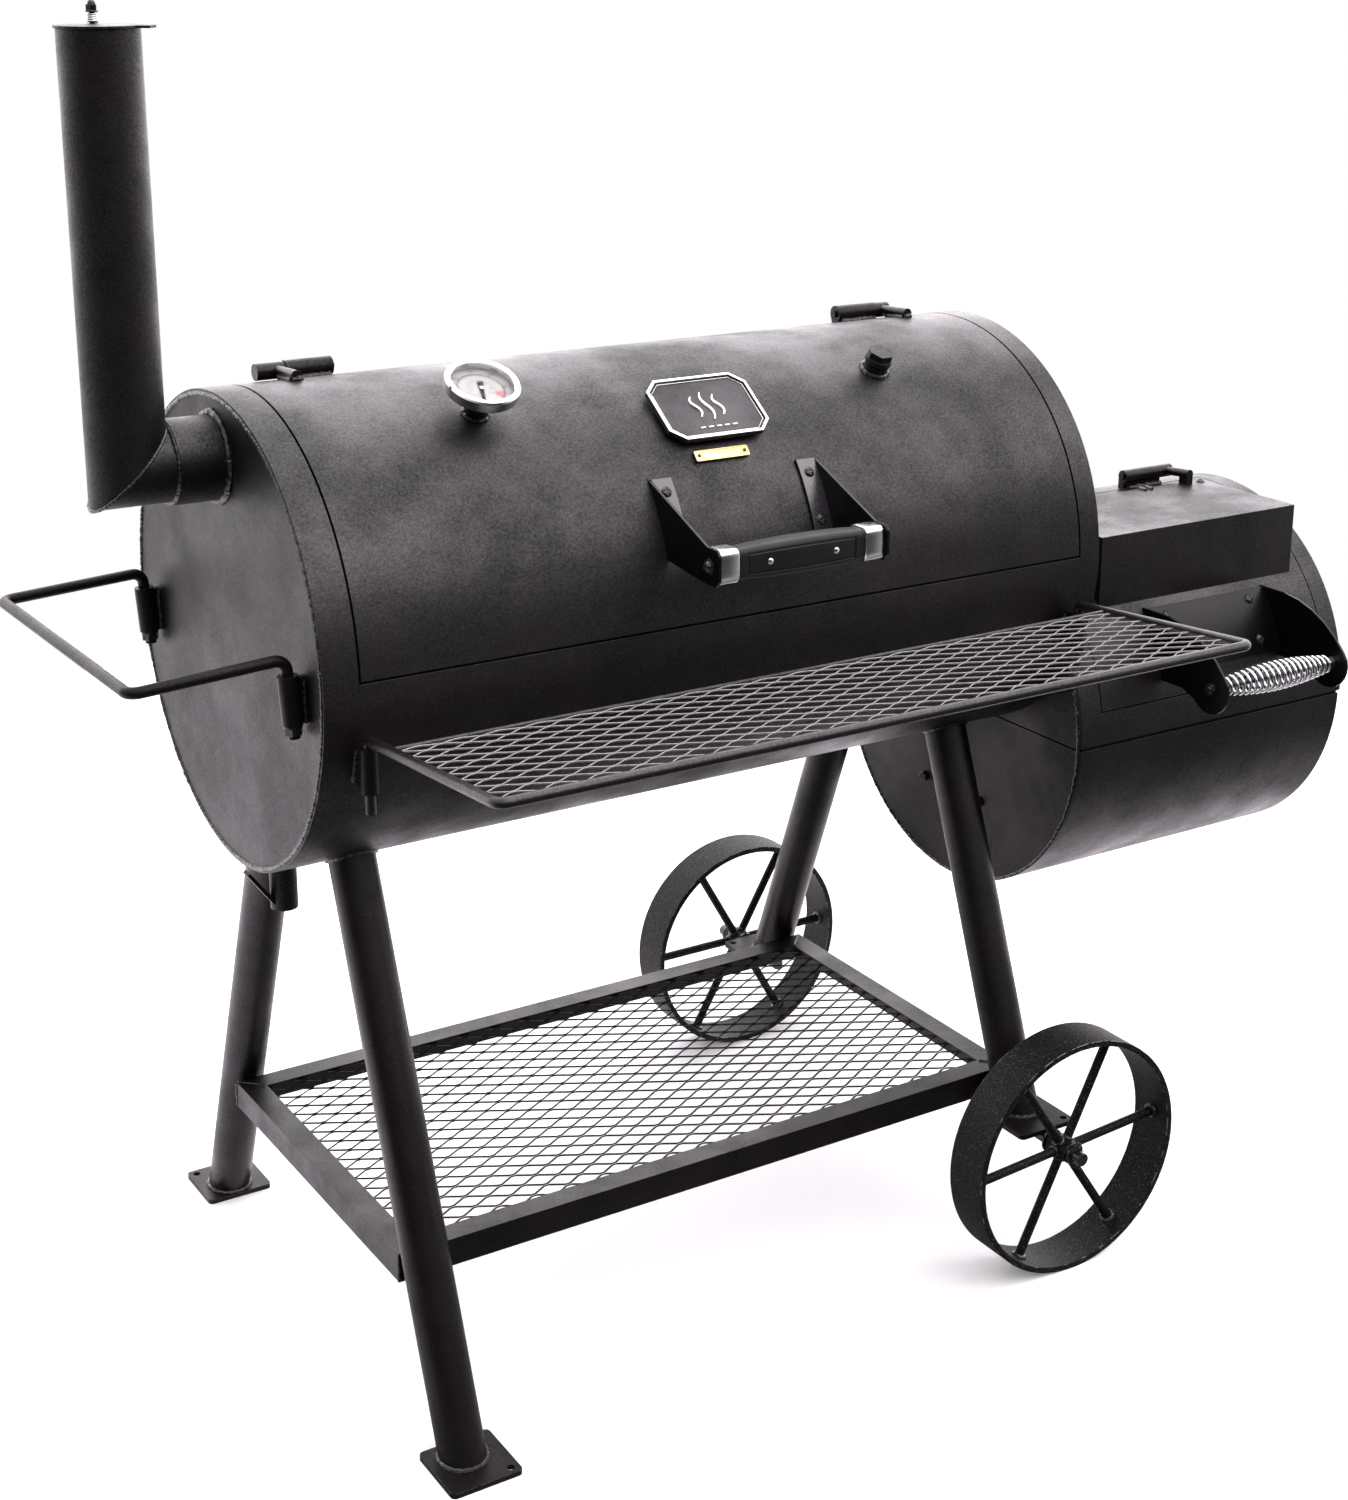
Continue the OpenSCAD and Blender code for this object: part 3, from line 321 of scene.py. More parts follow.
BLACK = (0.0018, 0.0014, 0.0017)
STAND_BLACK = (0.0014, 0.0011, 0.0013)
MESH = {"grit": 0.0001, "sheet": 0.0}
SMOOTH = {"grit": 0.00003, "sheet": 0.0}
ROD = {"speck": 0.3, "sheet": 0.0002, "cloudy": 0.4}
MATERIALS = {
    "black_paint": painted("satin_black_paint", BLACK, 0.44),
    "black_rod": painted("black_rod_paint", (0.0045, 0.004, 0.0045), 0.42, shine=0.2, **ROD),
    "mesh_black": painted(
        "black_mesh_paint", (0.0016, 0.0015, 0.0016), 0.42, speck=0.1, shine=0.22, cloudy=0.2, **MESH
    ),
    # the front mesh's light strands: partly worn steel, partly a painted highlight
    "mesh_steel": painted(
        "worn_and_highlit_mesh_paint", (0.47, 0.46, 0.47), 0.24, speck=0.3, wear=1.0, shine=0.8, cloudy=0.04, **MESH
    ),
    "wheel_paint": rough_paint("rough_wheel_paint", (0.0028, 0.0024, 0.0027)),
    "bolt_steel": painted(
        "blackened_bolts", (0.008, 0.0075, 0.008), 0.25, speck=0.1, wear=0.5, cloudy=0.2, **SMOOTH
    ),
    "chrome": bare_metal("polished_chrome", (0.86, 0.86, 0.87), 0.10, smut=0.10, dark=0.6),
    "dial_white": printed("dial_white_enamel", (0.40, 0.40, 0.395)),
    "glass": lens_glass("lens_glass"),
    "pointer_black": moulded("pointer_black", (0.006, 0.006, 0.006), 0.6, 0.1),
    "plate_metal": painted("badge_dark_field", (0.010, 0.0085, 0.010), 0.46, speck=0.2, bevel=0.0004, **MESH),
    "brass": bare_metal("satin_brass", (0.82, 0.60, 0.27), 0.27, (1, 12, 12), smut=0.3),
    "grip_black": moulded("grip_moulding", (0.006, 0.006, 0.0065), 0.46, 0.3),
    "grate_black": painted("grate_enamel", (0.010, 0.010, 0.010), 0.3, grit=0.00008, speck=0.2, sheet=0.0),
}
SHELF_ROD_PAINT = painted("shelf_rod_paint", (0.0055, 0.005, 0.0055), 0.34, wear=0.3, shine=0.75, **ROD)
STAND_PAINT = painted(
    "stand_paint", STAND_BLACK, 0.38, grit=0.0002, speck=0.3, wear=0.25, sheet=0.0002, shine=0.34
)
FOOT_PAINT = painted("worn_foot_paint", (0.003, 0.0026, 0.0028), 0.44, speck=0.8, wear=0.9, shine=0.26)
SIDE_BLACK = painted(
    "bracket_side_paint", (0.0016, 0.0013, 0.0016), 0.34, speck=0.05, shine=0.24, cloudy=0.3, **SMOOTH
)
# painted highlight: a lighter, glossier copy of the black paint for the flanges' faces
FLANGE_HIGHLIGHT_PAINT = painted(
    "bracket_flange_highlight_paint", (0.020, 0.018, 0.022), 0.27, speck=0.1, shine=1.0, cloudy=0.2, **SMOOTH
)
# painted shade: the firebox paint turns dull and dark at its left end, next to the drum
FIREBOX_PAINT = painted("firebox_paint", BLACK, 0.44, shade_x_span=(FB_LO.x + 0.007, FB_LO.x + 0.004))
HINGE_PAINT = painted(
    "hinge_paint", (0.0024, 0.002, 0.0023), 0.36, grit=0.0003, speck=0.3, wear=0.4, sheet=0.0, shine=0.3
)
COLLAR_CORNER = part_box("chimney_collar")[1]
# painted shadow: the end cap's paint is dull and dark round the chimney collar's corner
CAP_PAINT = painted("end_cap_paint", BLACK, 0.44, shine=0.29, cloudy=0.5, shade_spot=(COLLAR_CORNER, 0.15))
# painted shade: near-black paint for the lid's lip and the firebox split, standing for the shadow in the gaps
SEAM_SHADOW_BLACK = painted("seam_shadow_paint", (0.0012, 0.0011, 0.0012), 0.6, speck=0.0, sheet=0.0, shine=0.08)
WELD = weld_metal("painted_weld", (0.004, 0.0035, 0.004), (0.016, 0.015, 0.016))
HOT_WELD = weld_metal("greyish_weld", (0.008, 0.0075, 0.008), (0.045, 0.042, 0.041))
PRINT_BLACK = printed("dial_print_black", (0.01, 0.01, 0.011), 0.6)
PRINT_RED = printed("dial_print_red", (0.50, 0.10, 0.13))
SILVER = bare_metal("cast_silver_rim", (0.84, 0.85, 0.85), 0.2, smut=0.15, dark=0.7)
NODE_PAINT = {
    "foot_plates": FOOT_PAINT,
    "axle_plates": FOOT_PAINT,
    "bottom_shelf_frame": STAND_PAINT,
    "shelf_lugs": STAND_PAINT,
    "handle_brackets": SIDE_BLACK,
    "door_handle_bracket": SIDE_BLACK,
    "drum_hinge_knuckles": HINGE_PAINT,
    "lid_hinge_arms": HINGE_PAINT,
    "door_hinge_arms": HINGE_PAINT,
    "firebox_upper": FIREBOX_PAINT,
    "firebox_lower": FIREBOX_PAINT,
    "front_shelf_rods": SHELF_ROD_PAINT,
    "drum_cap_left": CAP_PAINT,
    # painted shade in the lid gap
    "lid_lip": SEAM_SHADOW_BLACK,
}

for cad_name, cad_object in NODES.items():
    usual = STAND_PAINT if cad_name.startswith("leg_") else MATERIALS[CAD_SLOT[cad_name]]
    for material_slot in cad_object.material_slots:
        material_slot.material = NODE_PAINT.get(cad_name, usual)


# ---------- mesh making ----------
def piece(name, mesh_data, material, body, smooth=True):
    """A new mesh piece that rides on a body. mesh_data is (vertices, faces)."""
    verts, faces = mesh_data
    mesh = bpy.data.meshes.new(name)
    mesh.from_pydata([tuple(v) for v in verts], [], faces)
    bm = bmesh.new()
    bm.from_mesh(mesh)
    bmesh.ops.recalc_face_normals(bm, faces=bm.faces)
    bm.to_mesh(mesh)
    bm.free()
    mesh.polygons.foreach_set("use_smooth", [smooth] * len(mesh.polygons))
    if smooth:
        mesh.set_sharp_from_angle(angle=radians(38))
    mesh.materials.append(material)
    ob = bpy.data.objects.new(name, mesh)
    bpy.context.scene.collection.objects.link(ob)
    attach(ob, body)
    return ob


def join(*parts):
    """Several (vertices, faces) as one."""
    verts, faces = [], []
    for part_verts, part_faces in parts:
        start = len(verts)
        verts += part_verts
        faces += [tuple(i + start for i in f) for f in part_faces]
    return verts, faces


def moved(part, matrix):
    return [matrix @ Vector(v) for v in part[0]], part[1]


def skin(rings, closed=False):
    """Quads between rings of equally many points, with end caps on an open run."""
    count = len(rings[0])
    verts = [p for ring in rings for p in ring]
    faces = []
    for r in range(len(rings) - (0 if closed else 1)):
        a, b = r * count, (r + 1) % len(rings) * count
        for k in range(count):
            j = (k + 1) % count
            faces.append((a + k, a + j, b + j, b + k))
    if not closed:
        faces.append(tuple(range(count))[::-1])
        faces.append(tuple(range(len(verts) - count, len(verts))))
    return verts, faces


def tube(path, radius, sides=12, closed=False):
    """A round tube along a path; radius is a number or a function of the point's index."""
    path = [Vector(p) for p in path]
    count = len(path)
    size = radius if callable(radius) else (lambda i: radius)
    rings, normal = [], None
    for i, p in enumerate(path):
        before = path[(i - 1) % count] if closed or i > 0 else p
        after = path[(i + 1) % count] if closed or i < count - 1 else p
        along = (after - before).normalized()
        if normal is None:
            normal = along.orthogonal().normalized()
        normal = (normal - along * normal.dot(along)).normalized()
        side = along.cross(normal)
        rings.append([p + (normal * cos(t) + side * sin(t)) * size(i) for t in turns(sides)])
    return skin(rings, closed)


def lathe(profile, sides=64):
    """Turned solid round +Z from (radius, height) points; a radius of 0 closes it."""
    verts, faces, rings = [], [], []
    for r, z in profile:
        if r < 1e-9:
            rings.append([len(verts)])
            verts.append(Vector((0, 0, z)))
        else:
            rings.append(list(range(len(verts), len(verts) + sides)))
            verts += [Vector((r * cos(t), r * sin(t), z)) for t in turns(sides)]
    for a, b in zip(rings, rings[1:]):
        for k in range(sides):
            j = (k + 1) % sides
            if len(a) == 1 and len(b) > 1:
                faces.append((a[0], b[k], b[j]))
            elif len(b) == 1 and len(a) > 1:
                faces.append((a[k], a[j], b[0]))
            elif len(a) > 1:
                faces.append((a[k], a[j], b[j], b[k]))
    return verts, faces


def rod(radius, z0, z1, sides):
    """A plain cylinder round +Z."""
    return lathe([(0, z0), (radius, z0), (radius, z1), (0, z1)], sides)


def prism(outline, z0, z1, chamfer=0.0):
    """Upright plate from an outline of (x, y) points, with its upper edge chamfered."""

    def inset(points, d):
        made = []
        for i, p in enumerate(points):
            before, after = Vector(points[i - 1]), Vector(points[(i + 1) % len(points)])
            here = Vector(p)
            e1, e2 = (here - before).normalized(), (after - here).normalized()
            n1, n2 = Vector((-e1.y, e1.x)), Vector((-e2.y, e2.x))
            bisector = (n1 + n2).normalized()
            made.append(here + bisector * (d / max(0.3, bisector.dot(n1))))
        return made

    rings = [[Vector((*p, z0)) for p in outline], [Vector((*p, z1 - chamfer)) for p in outline]]
    if chamfer:
        rings.append([Vector((*p, z1 - chamfer * 0.3)) for p in inset(outline, chamfer * 0.3)])
        rings.append([Vector((*p, z1)) for p in inset(outline, chamfer)])
    return skin(rings)


def rounded_box_outline(w, h, r, steps=6):
    """Counter-clockwise outline of a rectangle with round corners."""
    points = []
    for cx, cy, start in ((1, 1, 0), (-1, 1, 90), (-1, -1, 180), (1, -1, 270)):
        for k in range(steps + 1):
            t = radians(start + 90 * k / steps)
            points.append((cx * (w / 2 - r) + r * cos(t), cy * (h / 2 - r) + r * sin(t)))
    return points


def cut_corner_outline(w, h, cut):
    """Counter-clockwise outline of a rectangle with its corners cut off at 45 degrees."""
    x, y = w / 2, h / 2
    right = [(x, cut - y), (x, y - cut), (x - cut, y)]
    left = [(cut - x, y), (-x, y - cut), (-x, cut - y)]
    return right + left + [(cut - x, -y), (x - cut, -y)]


def rim(outer, inner, z0, z1):
    """A flat-topped frame between two outlines of equally many points."""
    half = 0.0004
    rings = [
        [Vector((*p, z0)) for p in outer],
        [Vector((*p, z1 - half)) for p in outer],
        [Vector((*(Vector(p) * 0.994), z1)) for p in outer],
        [Vector((*(Vector(p) * 1.006), z1)) for p in inner],
        [Vector((*p, z1 - half)) for p in inner],
        [Vector((*p, z0)) for p in inner],
    ]
    return skin(rings, closed=True)


def screw_head(radius, height, arm=0.16, depth=0.5):
    """Pan head with a cross recess, standing on z = 0."""
    rings, sides = 22, 72
    verts, faces = [Vector((0, 0, height * (1 - depth)))], []
    for i in range(1, rings + 1):
        share = i / rings
        dome = height * (1 - share ** 3.2) if i < rings else 0.0
        for t in turns(sides):
            x, y = share * cos(t), share * sin(t)
            in_arm = min(abs(x), abs(y)) < arm * (1.15 - 0.5 * share) and share < 0.62
            z = dome - (height * depth * (1 - 0.8 * share) if in_arm else 0.0)
            verts.append(Vector((x * radius, y * radius, z)))
    for k in range(sides):
        faces.append((0, 1 + k, 1 + (k + 1) % sides))
    for i in range(rings - 1):
        a, b = 1 + i * sides, 1 + (i + 1) * sides
        for k in range(sides):
            j = (k + 1) % sides
            faces.append((a + k, b + k, b + j, a + j))
    faces.append(tuple(range(len(verts) - sides, len(verts))))
    return verts, faces


def hexagon_nut(flats, height):
    """Hexagon with chamfered corners, standing on z = 0."""
    corner = flats / 2 / cos(pi / 6)
    sides = 48
    rings = []
    for scale, z in ((0.9, 0.0), (1.0, 0.12), (1.0, 0.86), (0.88, 1.0)):
        ring = []
        for t in turns(sides):
            sector = (t + pi / 6) % (pi / 3) - pi / 6
            flat_radius = flats / 2 / cos(sector)
            r = min(flat_radius, corner * scale)
            ring.append(Vector((r * cos(t), r * sin(t), height * z)))
        rings.append(ring)
    return skin(rings)


def bead(path, radius, closed=False, seed=0.0, sides=8, rough=0.22):
    """A weld bead along a path: ripples along its length and an uneven width."""
    path = [Vector(p) for p in path]
    if closed:
        path.append(path[0])
    step, walked, spots = radius * 0.5, 0.0, []
    for a, b in zip(path, path[1:]):
        length = (b - a).length
        while walked <= length:
            spots.append(a.lerp(b, walked / length))
            walked += step
        walked -= length
    if closed and (spots[0] - spots[-1]).length < step * 0.6:
        spots.pop()
    shaken = []
    for p in spots:
        jitter = noise.noise_vector(p * 190 + Vector((seed, 0, 0)))
        shaken.append(p + jitter * radius * rough)

    def size(i):
        p, shift = spots[i], Vector((0, seed, 0))
        wide = noise.noise(p * 60 + shift)
        ripple = abs(sin(pi * i * step / (2.3 * radius) + 2.5 * wide))
        return radius * (0.80 + 0.14 * ripple + rough * 0.9 * noise.noise(p * 260 + shift) + 0.16 * wide)

    return tube(shaken, size, sides, closed)


def ring_path(centre, axis, radius, steps=96):
    """Points on a circle round an axis."""
    axis = Vector(axis).normalized()
    side = axis.orthogonal().normalized()
    other = axis.cross(side)
    made = []
    for k in range(steps):
        t = radians(360 * k / steps)
        made.append(Vector(centre) + (side * cos(t) + other * sin(t)) * radius)
    return made


# ---------- camera, floor and light ----------
def add_camera():
    data = bpy.data.cameras.new("camera")
    data.lens, data.sensor_width = 56.39, 36.0
    data.shift_x, data.shift_y = -0.0096, -0.0877
    data.clip_end = 200
    camera = bpy.data.objects.new("camera", data)
    turn = Matrix.Rotation(radians(-32.08), 4, "Z") @ Matrix.Rotation(radians(73.54), 4, "X")
    turn = turn @ Matrix.Rotation(radians(0.16), 4, "Z")
    camera.matrix_world = at(-1.45696, -2.1606, 1.54133) @ turn
    bpy.context.scene.collection.objects.link(camera)
    bpy.context.scene.camera = camera


FLOOR_R = 2.6


def add_floor():
    """Pale floor. In reflections it fades out in front of the grill, as a lit sheet on a dark floor does, and is
    darker towards the front: painted reflection. To the camera it glows a little, painted light that lifts its
    shadows.
    """
    mesh = bpy.data.meshes.new("floor")
    bm = bmesh.new()
    bmesh.ops.create_circle(bm, cap_ends=True, segments=96, radius=FLOOR_R)
    bm.to_mesh(mesh)
    bm.free()
    n = Nodes("pale_floor")
    cloud = n.noise(3, 3.0)
    pale = n.mix(n.ramp(cloud, 0.3, 0.7), (0.92, 0.92, 0.92), (0.94, 0.94, 0.94))
    y = n.add("ShaderNodeSeparateXYZ", {0: n.coord}).outputs["Y"]
    seen = n.add("ShaderNodeLightPath").outputs["Is Camera Ray"]
    fade = n.math("MULTIPLY", n.ramp(y, -0.08, -0.55), n.math("SUBTRACT", 1.0, seen))
    under = n.mix(n.ramp(y, -0.05, 0.15), (0.44, 0.43, 0.44), (0.92, 0.89, 0.92))
    near = n.mix(seen, under, pale)
    # painted light: a faint glow seen only by the camera lifts the floor's shadows
    camera_glow_lift = n.math("MULTIPLY", seen, 0.10)
    colour = n.mix(fade, near, (0.02, 0.02, 0.02))
    n.set(Base_Color=colour, Roughness=0.9, Emission_Color=(1, 1, 1), Emission_Strength=camera_glow_lift)
    mesh.materials.append(n.mat)
    floor = bpy.data.objects.new("floor", mesh)
    bpy.context.scene.collection.objects.link(floor)


def add_world():
    """White studio: bright behind, a soft key above the camera, dim overhead and dark low down in front."""
    world = bpy.data.worlds.new("studio")
    bpy.context.scene.world = world
    world.use_nodes = True
    tree = world.node_tree
    tree.nodes.clear()

    def add(kind, inputs=(), **props):
        return add_node(tree, kind, inputs, props)

    direction = add("ShaderNodeTexCoord").outputs["Generated"]

    def towards(spot):
        spot = Vector(spot).normalized()
        return add("ShaderNodeVectorMath", {0: direction, 1: spot}, operation="DOT_PRODUCT").outputs["Value"]

    def smooth(value, low, high, out_low=0.0, out_high=1.0):
        limits = {"Value": value, "From Min": low, "From Max": high, "To Min": out_low, "To Max": out_high}
        return add("ShaderNodeMapRange", limits, interpolation_type="SMOOTHSTEP").outputs[0]

    def calc(kind, x, y):
        return add("ShaderNodeMath", {0: x, 1: y}, operation=kind).outputs[0]

    height = add("ShaderNodeSeparateXYZ", {0: direction}).outputs["Z"]
    behind = calc("MULTIPLY", smooth(towards((0.45, 0.89, 0.0)), 0.15, 0.75), smooth(height, -0.5, 0.12))
    key = smooth(towards((0.38, -0.55, 0.74)), 0.72, 0.97)
    base = smooth(height, -0.2, 0.3, 1.0, 1.5)
    power = calc("ADD", calc("ADD", base, calc("MULTIPLY", behind, 2.0)), calc("MULTIPLY", key, 2.3))
    in_front = smooth(towards((-0.45, -0.89, 0.0)), -0.25, 0.55)
    low = smooth(height, 0.16, 0.60, 1.0, 0.0)
    dark = calc("MULTIPLY", calc("MULTIPLY", in_front, low), 0.96)
    power = calc("MULTIPLY", power, calc("SUBTRACT", 1.0, dark))
    light = add("ShaderNodeBackground", {"Color": (1.0, 0.955, 0.995, 1), "Strength": power})
    backdrop = add("ShaderNodeBackground", {"Color": (1, 1, 1, 1), "Strength": 1.0})
    seen = add("ShaderNodeLightPath").outputs["Is Camera Ray"]
    both = add("ShaderNodeMixShader", {0: seen, 1: light.outputs[0], 2: backdrop.outputs[0]})
    add("ShaderNodeOutputWorld", {"Surface": both.outputs[0]})


def area_light(name, place, target, size, power):
    data = bpy.data.lights.new(name, "AREA")
    data.shape, data.size, data.size_y, data.energy = "RECTANGLE", size[0], size[1], power
    lamp = bpy.data.objects.new(name, data)
    lamp.location = place
    lamp.rotation_euler = (Vector(target) - Vector(place)).to_track_quat("-Z", "Y").to_euler()
    bpy.context.scene.collection.objects.link(lamp)


add_camera()
add_floor()
add_world()
area_light("top_softbox", (0.2, 0.9, 3.4), (0, 0, 0.9), (3.2, 1.6), 25)
bpy.context.scene.view_settings.view_transform = "Standard"


# ---------- expanded metal ----------
def expanded_metal(lo, hi, long_way=0.044, short_way=0.025, width=0.0030, thick=0.0016, tilt=-34, face=0.0):
    """Rows of tilted zigzag strands that meet at their bonds, filling a flat rectangle at z = face."""
    lean = radians(tilt)
    half_w, half_t = width / 2, thick / 2
    corner = 0.0003
    section = []
    for sx, sy in ((1, 1), (-1, 1), (-1, -1), (1, -1)):
        for dx, dy in ((corner, 0), (0, corner)) if sx * sy > 0 else ((0, corner), (corner, 0)):
            a, b = sx * (half_w - dx), sy * (half_t - dy)
            section.append((a * cos(lean) - b * sin(lean), a * sin(lean) + b * cos(lean)))
    reach = max(abs(s[0]) for s in section)
    bond = long_way * 0.075
    swing = short_way / 4 - width * 0.36
    rows = int((hi.y - lo.y) / (short_way / 2)) + 1
    pitch = (hi.y - lo.y - width) / (rows - 1)
    parts = []
    for row in range(rows):
        y0 = lo.y + width / 2 + row * pitch
        knots = []
        x = lo.x - long_way * 1.5
        k = 0
        while x < hi.x + long_way:
            level = swing * (1 if (k + row) % 2 else -1)
            knots += [(x - bond, level), (x + bond, level)]
            x += long_way / 2
            k += 1
        cut = []
        for (xa, ya), (xb, yb) in zip(knots, knots[1:]):
            if xb <= lo.x or xa >= hi.x:
                continue
            for xc in (max(xa, lo.x), min(xb, hi.x)):
                yc = ya + (yb - ya) * (xc - xa) / (xb - xa) if xb > xa else ya
                if not cut or abs(cut[-1][0] - xc) > 1e-6:
                    cut.append((xc, yc))
        rings = []
        for xc, yc in cut:
            y = min(max(y0 + yc, lo.y + reach), hi.y - reach)
            rings.append([Vector((xc, y + s[0], face + s[1])) for s in section])
        parts.append(skin(rings))
    return join(*parts)


def make_bottom_mesh():
    lo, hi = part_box("bottom_mesh")
    sheet = expanded_metal(lo, hi, width=0.0050, face=(lo.z + hi.z) / 2)
    ob = piece("bottom_expanded_metal", sheet, MATERIALS["mesh_black"], "grill")
    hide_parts("bottom_mesh")


def make_front_mesh():
    lo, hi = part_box("front_shelf_mesh")
    thick = 0.003
    slope = atan2(hi.z - lo.z - thick, hi.y - lo.y)
    run = (hi.y - lo.y) / cos(slope)
    centre = (lo + hi) / 2
    half = Vector(((hi.x - lo.x) / 2, run / 2 - 0.0006, 0))
    turn = at(*centre) @ Matrix.Rotation(-slope, 4, "X")
    sheet = moved(expanded_metal(-half, half, width=0.0031), turn)
    ob = piece("front_expanded_metal", sheet, MATERIALS["mesh_steel"], "front_shelf")
    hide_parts("front_shelf_mesh")


make_bottom_mesh()
make_front_mesh()


# ---------- springs ----------
def helix(coils, length, radius, sides=30):
    """Points of a coil along +Z; radius is a function of the share of its length."""
    made = []
    for i in range(coils * sides + 1):
        share = i / (coils * sides)
        t = 2 * pi * i / sides
        r = radius(share)
        made.append(Vector((r * cos(t), r * sin(t), share * length)))
    return made


def make_door_grip():
    lo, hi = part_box("door_handle_spring")
    centre = (lo + hi) / 2
    wings_lo, wings_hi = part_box("door_handle_bracket")
    along = at(0, centre.y, centre.z) @ Matrix.Rotation(pi / 2, 4, "Y")
    wire, bulge, ends = 0.0019, 0.0075, 0.0095
    start, stop = wings_lo.x + 0.013, wings_hi.x - 0.013
    coil = helix(19, stop - start, lambda s: ends + bulge * sin(pi * s))
    coil = moved(tube(coil, wire, 10), along @ at(0, 0, start))
    grip = piece("door_grip_coil", coil, MATERIALS["chrome"], "door")
    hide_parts("door_handle_spring")
    rod_profile = [(0, lo.x), (0.0035, lo.x), (0.004, lo.x + 0.0006)]
    rod_profile += [(0.004, hi.x - 0.0006), (0.0035, hi.x), (0, hi.x)]
    nuts = [moved(hexagon_nut(0.013, 0.006), at(0, 0, x)) for x in (wings_lo.x - 0.0062, wings_hi.x + 0.0002)]
    hardware = join(lathe(rod_profile, 32), *nuts)
    piece("door_grip_rod", moved(hardware, along), MATERIALS["bolt_steel"], "door")
    cups = []
    for x, side in ((wings_lo.x + 0.0035, 1), (wings_hi.x - 0.0035, -1)):
        profile = [(0, 0), (0.0085, 0), (0.0085, 0.0012 * side), (0.007, 0.0085 * side), (0, 0.0095 * side)]
        cup = lathe(profile, 40)
        cups.append(moved(cup, at(0, 0, x)))
    piece("door_grip_end_cups", moved(join(*cups), along), MATERIALS["chrome"], "door")


def make_damper_spring():
    lo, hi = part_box("damper_spring")
    centre = (lo + hi) / 2
    wire = 0.0011
    radius = (hi.x - lo.x) / 2 - wire
    coil = helix(4, hi.z - lo.z - 2 * wire, lambda s: radius)
    place = at(centre.x, centre.y, lo.z + wire)
    ob = piece("damper_coil", moved(tube(coil, wire, 10), place), MATERIALS["chrome"], "grill")
    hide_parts("damper_spring")


make_door_grip()
make_damper_spring()


# ---------- lid handle ----------
def squarish(half_y, half_z, power, steps):
    """Points of a rounded-square section in the YZ plane."""
    made = []
    for t in turns(steps):
        c, s = cos(t), sin(t)
        y = copysign(abs(c) ** (2 / power), c) * half_y
        z = copysign(abs(s) ** (2 / power), s) * half_z
        made.append((y, z))
    return made


def make_lid_grip():
    lo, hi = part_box("handle_grip")
    centre, length = (lo + hi) / 2, hi.x - lo.x
    half = (hi.z - lo.z) / 2
    steps, columns = 144, 300
    panel_x, panel_z, line, depth = length * 0.42, half * 0.60, 0.0008, 0.0008
    rings = []
    for i in range(columns + 1):
        share = i / columns
        u = (share - 0.5) * length
        swell = 1 - 0.14 * (2 * abs(share - 0.5)) ** 2
        ring = []
        for y, z in squarish(half * 0.80 * swell, half * swell, 4.2, steps):
            if y < 0 and abs(z) < half * 0.8:
                near_x = abs(abs(u) - panel_x) < line and abs(z) < panel_z + line
                near_z = abs(abs(z) - panel_z * swell) < line and abs(u) < panel_x + line
                if near_x or near_z:
                    y += depth
            ring.append(Vector((centre.x + u, centre.y + y, centre.z + z)))
        rings.append(ring)
    grip = piece("lid_grip_moulding", skin(rings), MATERIALS["grip_black"], "lid")
    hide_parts("handle_grip")
    rivets = []
    for side in (-1, 1):
        head = lathe([(0, 0.0011), (0.0018, 0.0009), (0.0034, 0.0), (0.0034, -0.002), (0, -0.002)], 40)
        spot = Vector((centre.x + side * length * 0.26, centre.y - half * 0.80 * 0.985, centre.z))
        rivets.append(moved(head, at(*spot) @ Matrix.Rotation(pi / 2, 4, "X")))
    piece("lid_grip_rivets", join(*rivets), MATERIALS["chrome"], "lid")


def make_ferrules():
    lo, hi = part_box("handle_ferrules")
    grip_lo, grip_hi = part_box("handle_grip")
    bracket = islands("handle_brackets")
    inner = (bracket[0][0].x + 0.0032, bracket[1][1].x - 0.0032)
    centre = (lo + hi) / 2
    half = 0.0183  # of the ferrules' height
    ferrules = []
    for start, stop in ((inner[0], grip_lo.x + 0.0004), (grip_hi.x - 0.0004, inner[1])):
        rings = []
        first = ((start, 0.90), (start + 0.0008, 0.985), (start + 0.0018, 1.0))
        for x, scale in (*first, (stop - 0.0018, 1.0), (stop - 0.0008, 0.985), (stop, 0.93)):
            section = squarish(half * 0.84 * scale, half * scale, 5.0, 96)
            rings.append([Vector((x, centre.y + y, centre.z + z)) for y, z in section])
        ferrules.append(skin(rings))
    ob = piece("lid_grip_ferrules", join(*ferrules), SILVER, "lid")
    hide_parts("handle_ferrules")
    heads = []
    for x, face in ((bracket[0][0].x, -1), (bracket[1][1].x, 1)):
        place = at(x, centre.y, centre.z) @ Matrix.Rotation(face * pi / 2, 4, "Y")
        heads.append(moved(rod(0.0085, 0, 0.001, 48), place))
        heads.append(moved(screw_head(0.0062, 0.0042), place @ at(0, 0, 0.001)))
    ends = (inner[0] - 0.002, inner[1] + 0.002)
    heads.append(tube([(x, centre.y, centre.z) for x in ends], 0.004))
    piece("lid_grip_rod_and_heads", join(*heads), MATERIALS["bolt_steel"], "lid")


make_lid_grip()
make_ferrules()


# ---------- screws ----------
def screw(place, height, reach):
    """A pan head with its shank, standing on a face."""
    return [moved(screw_head(0.0064, height), place), moved(rod(0.0025, -reach, 0.0002, 24), place)]


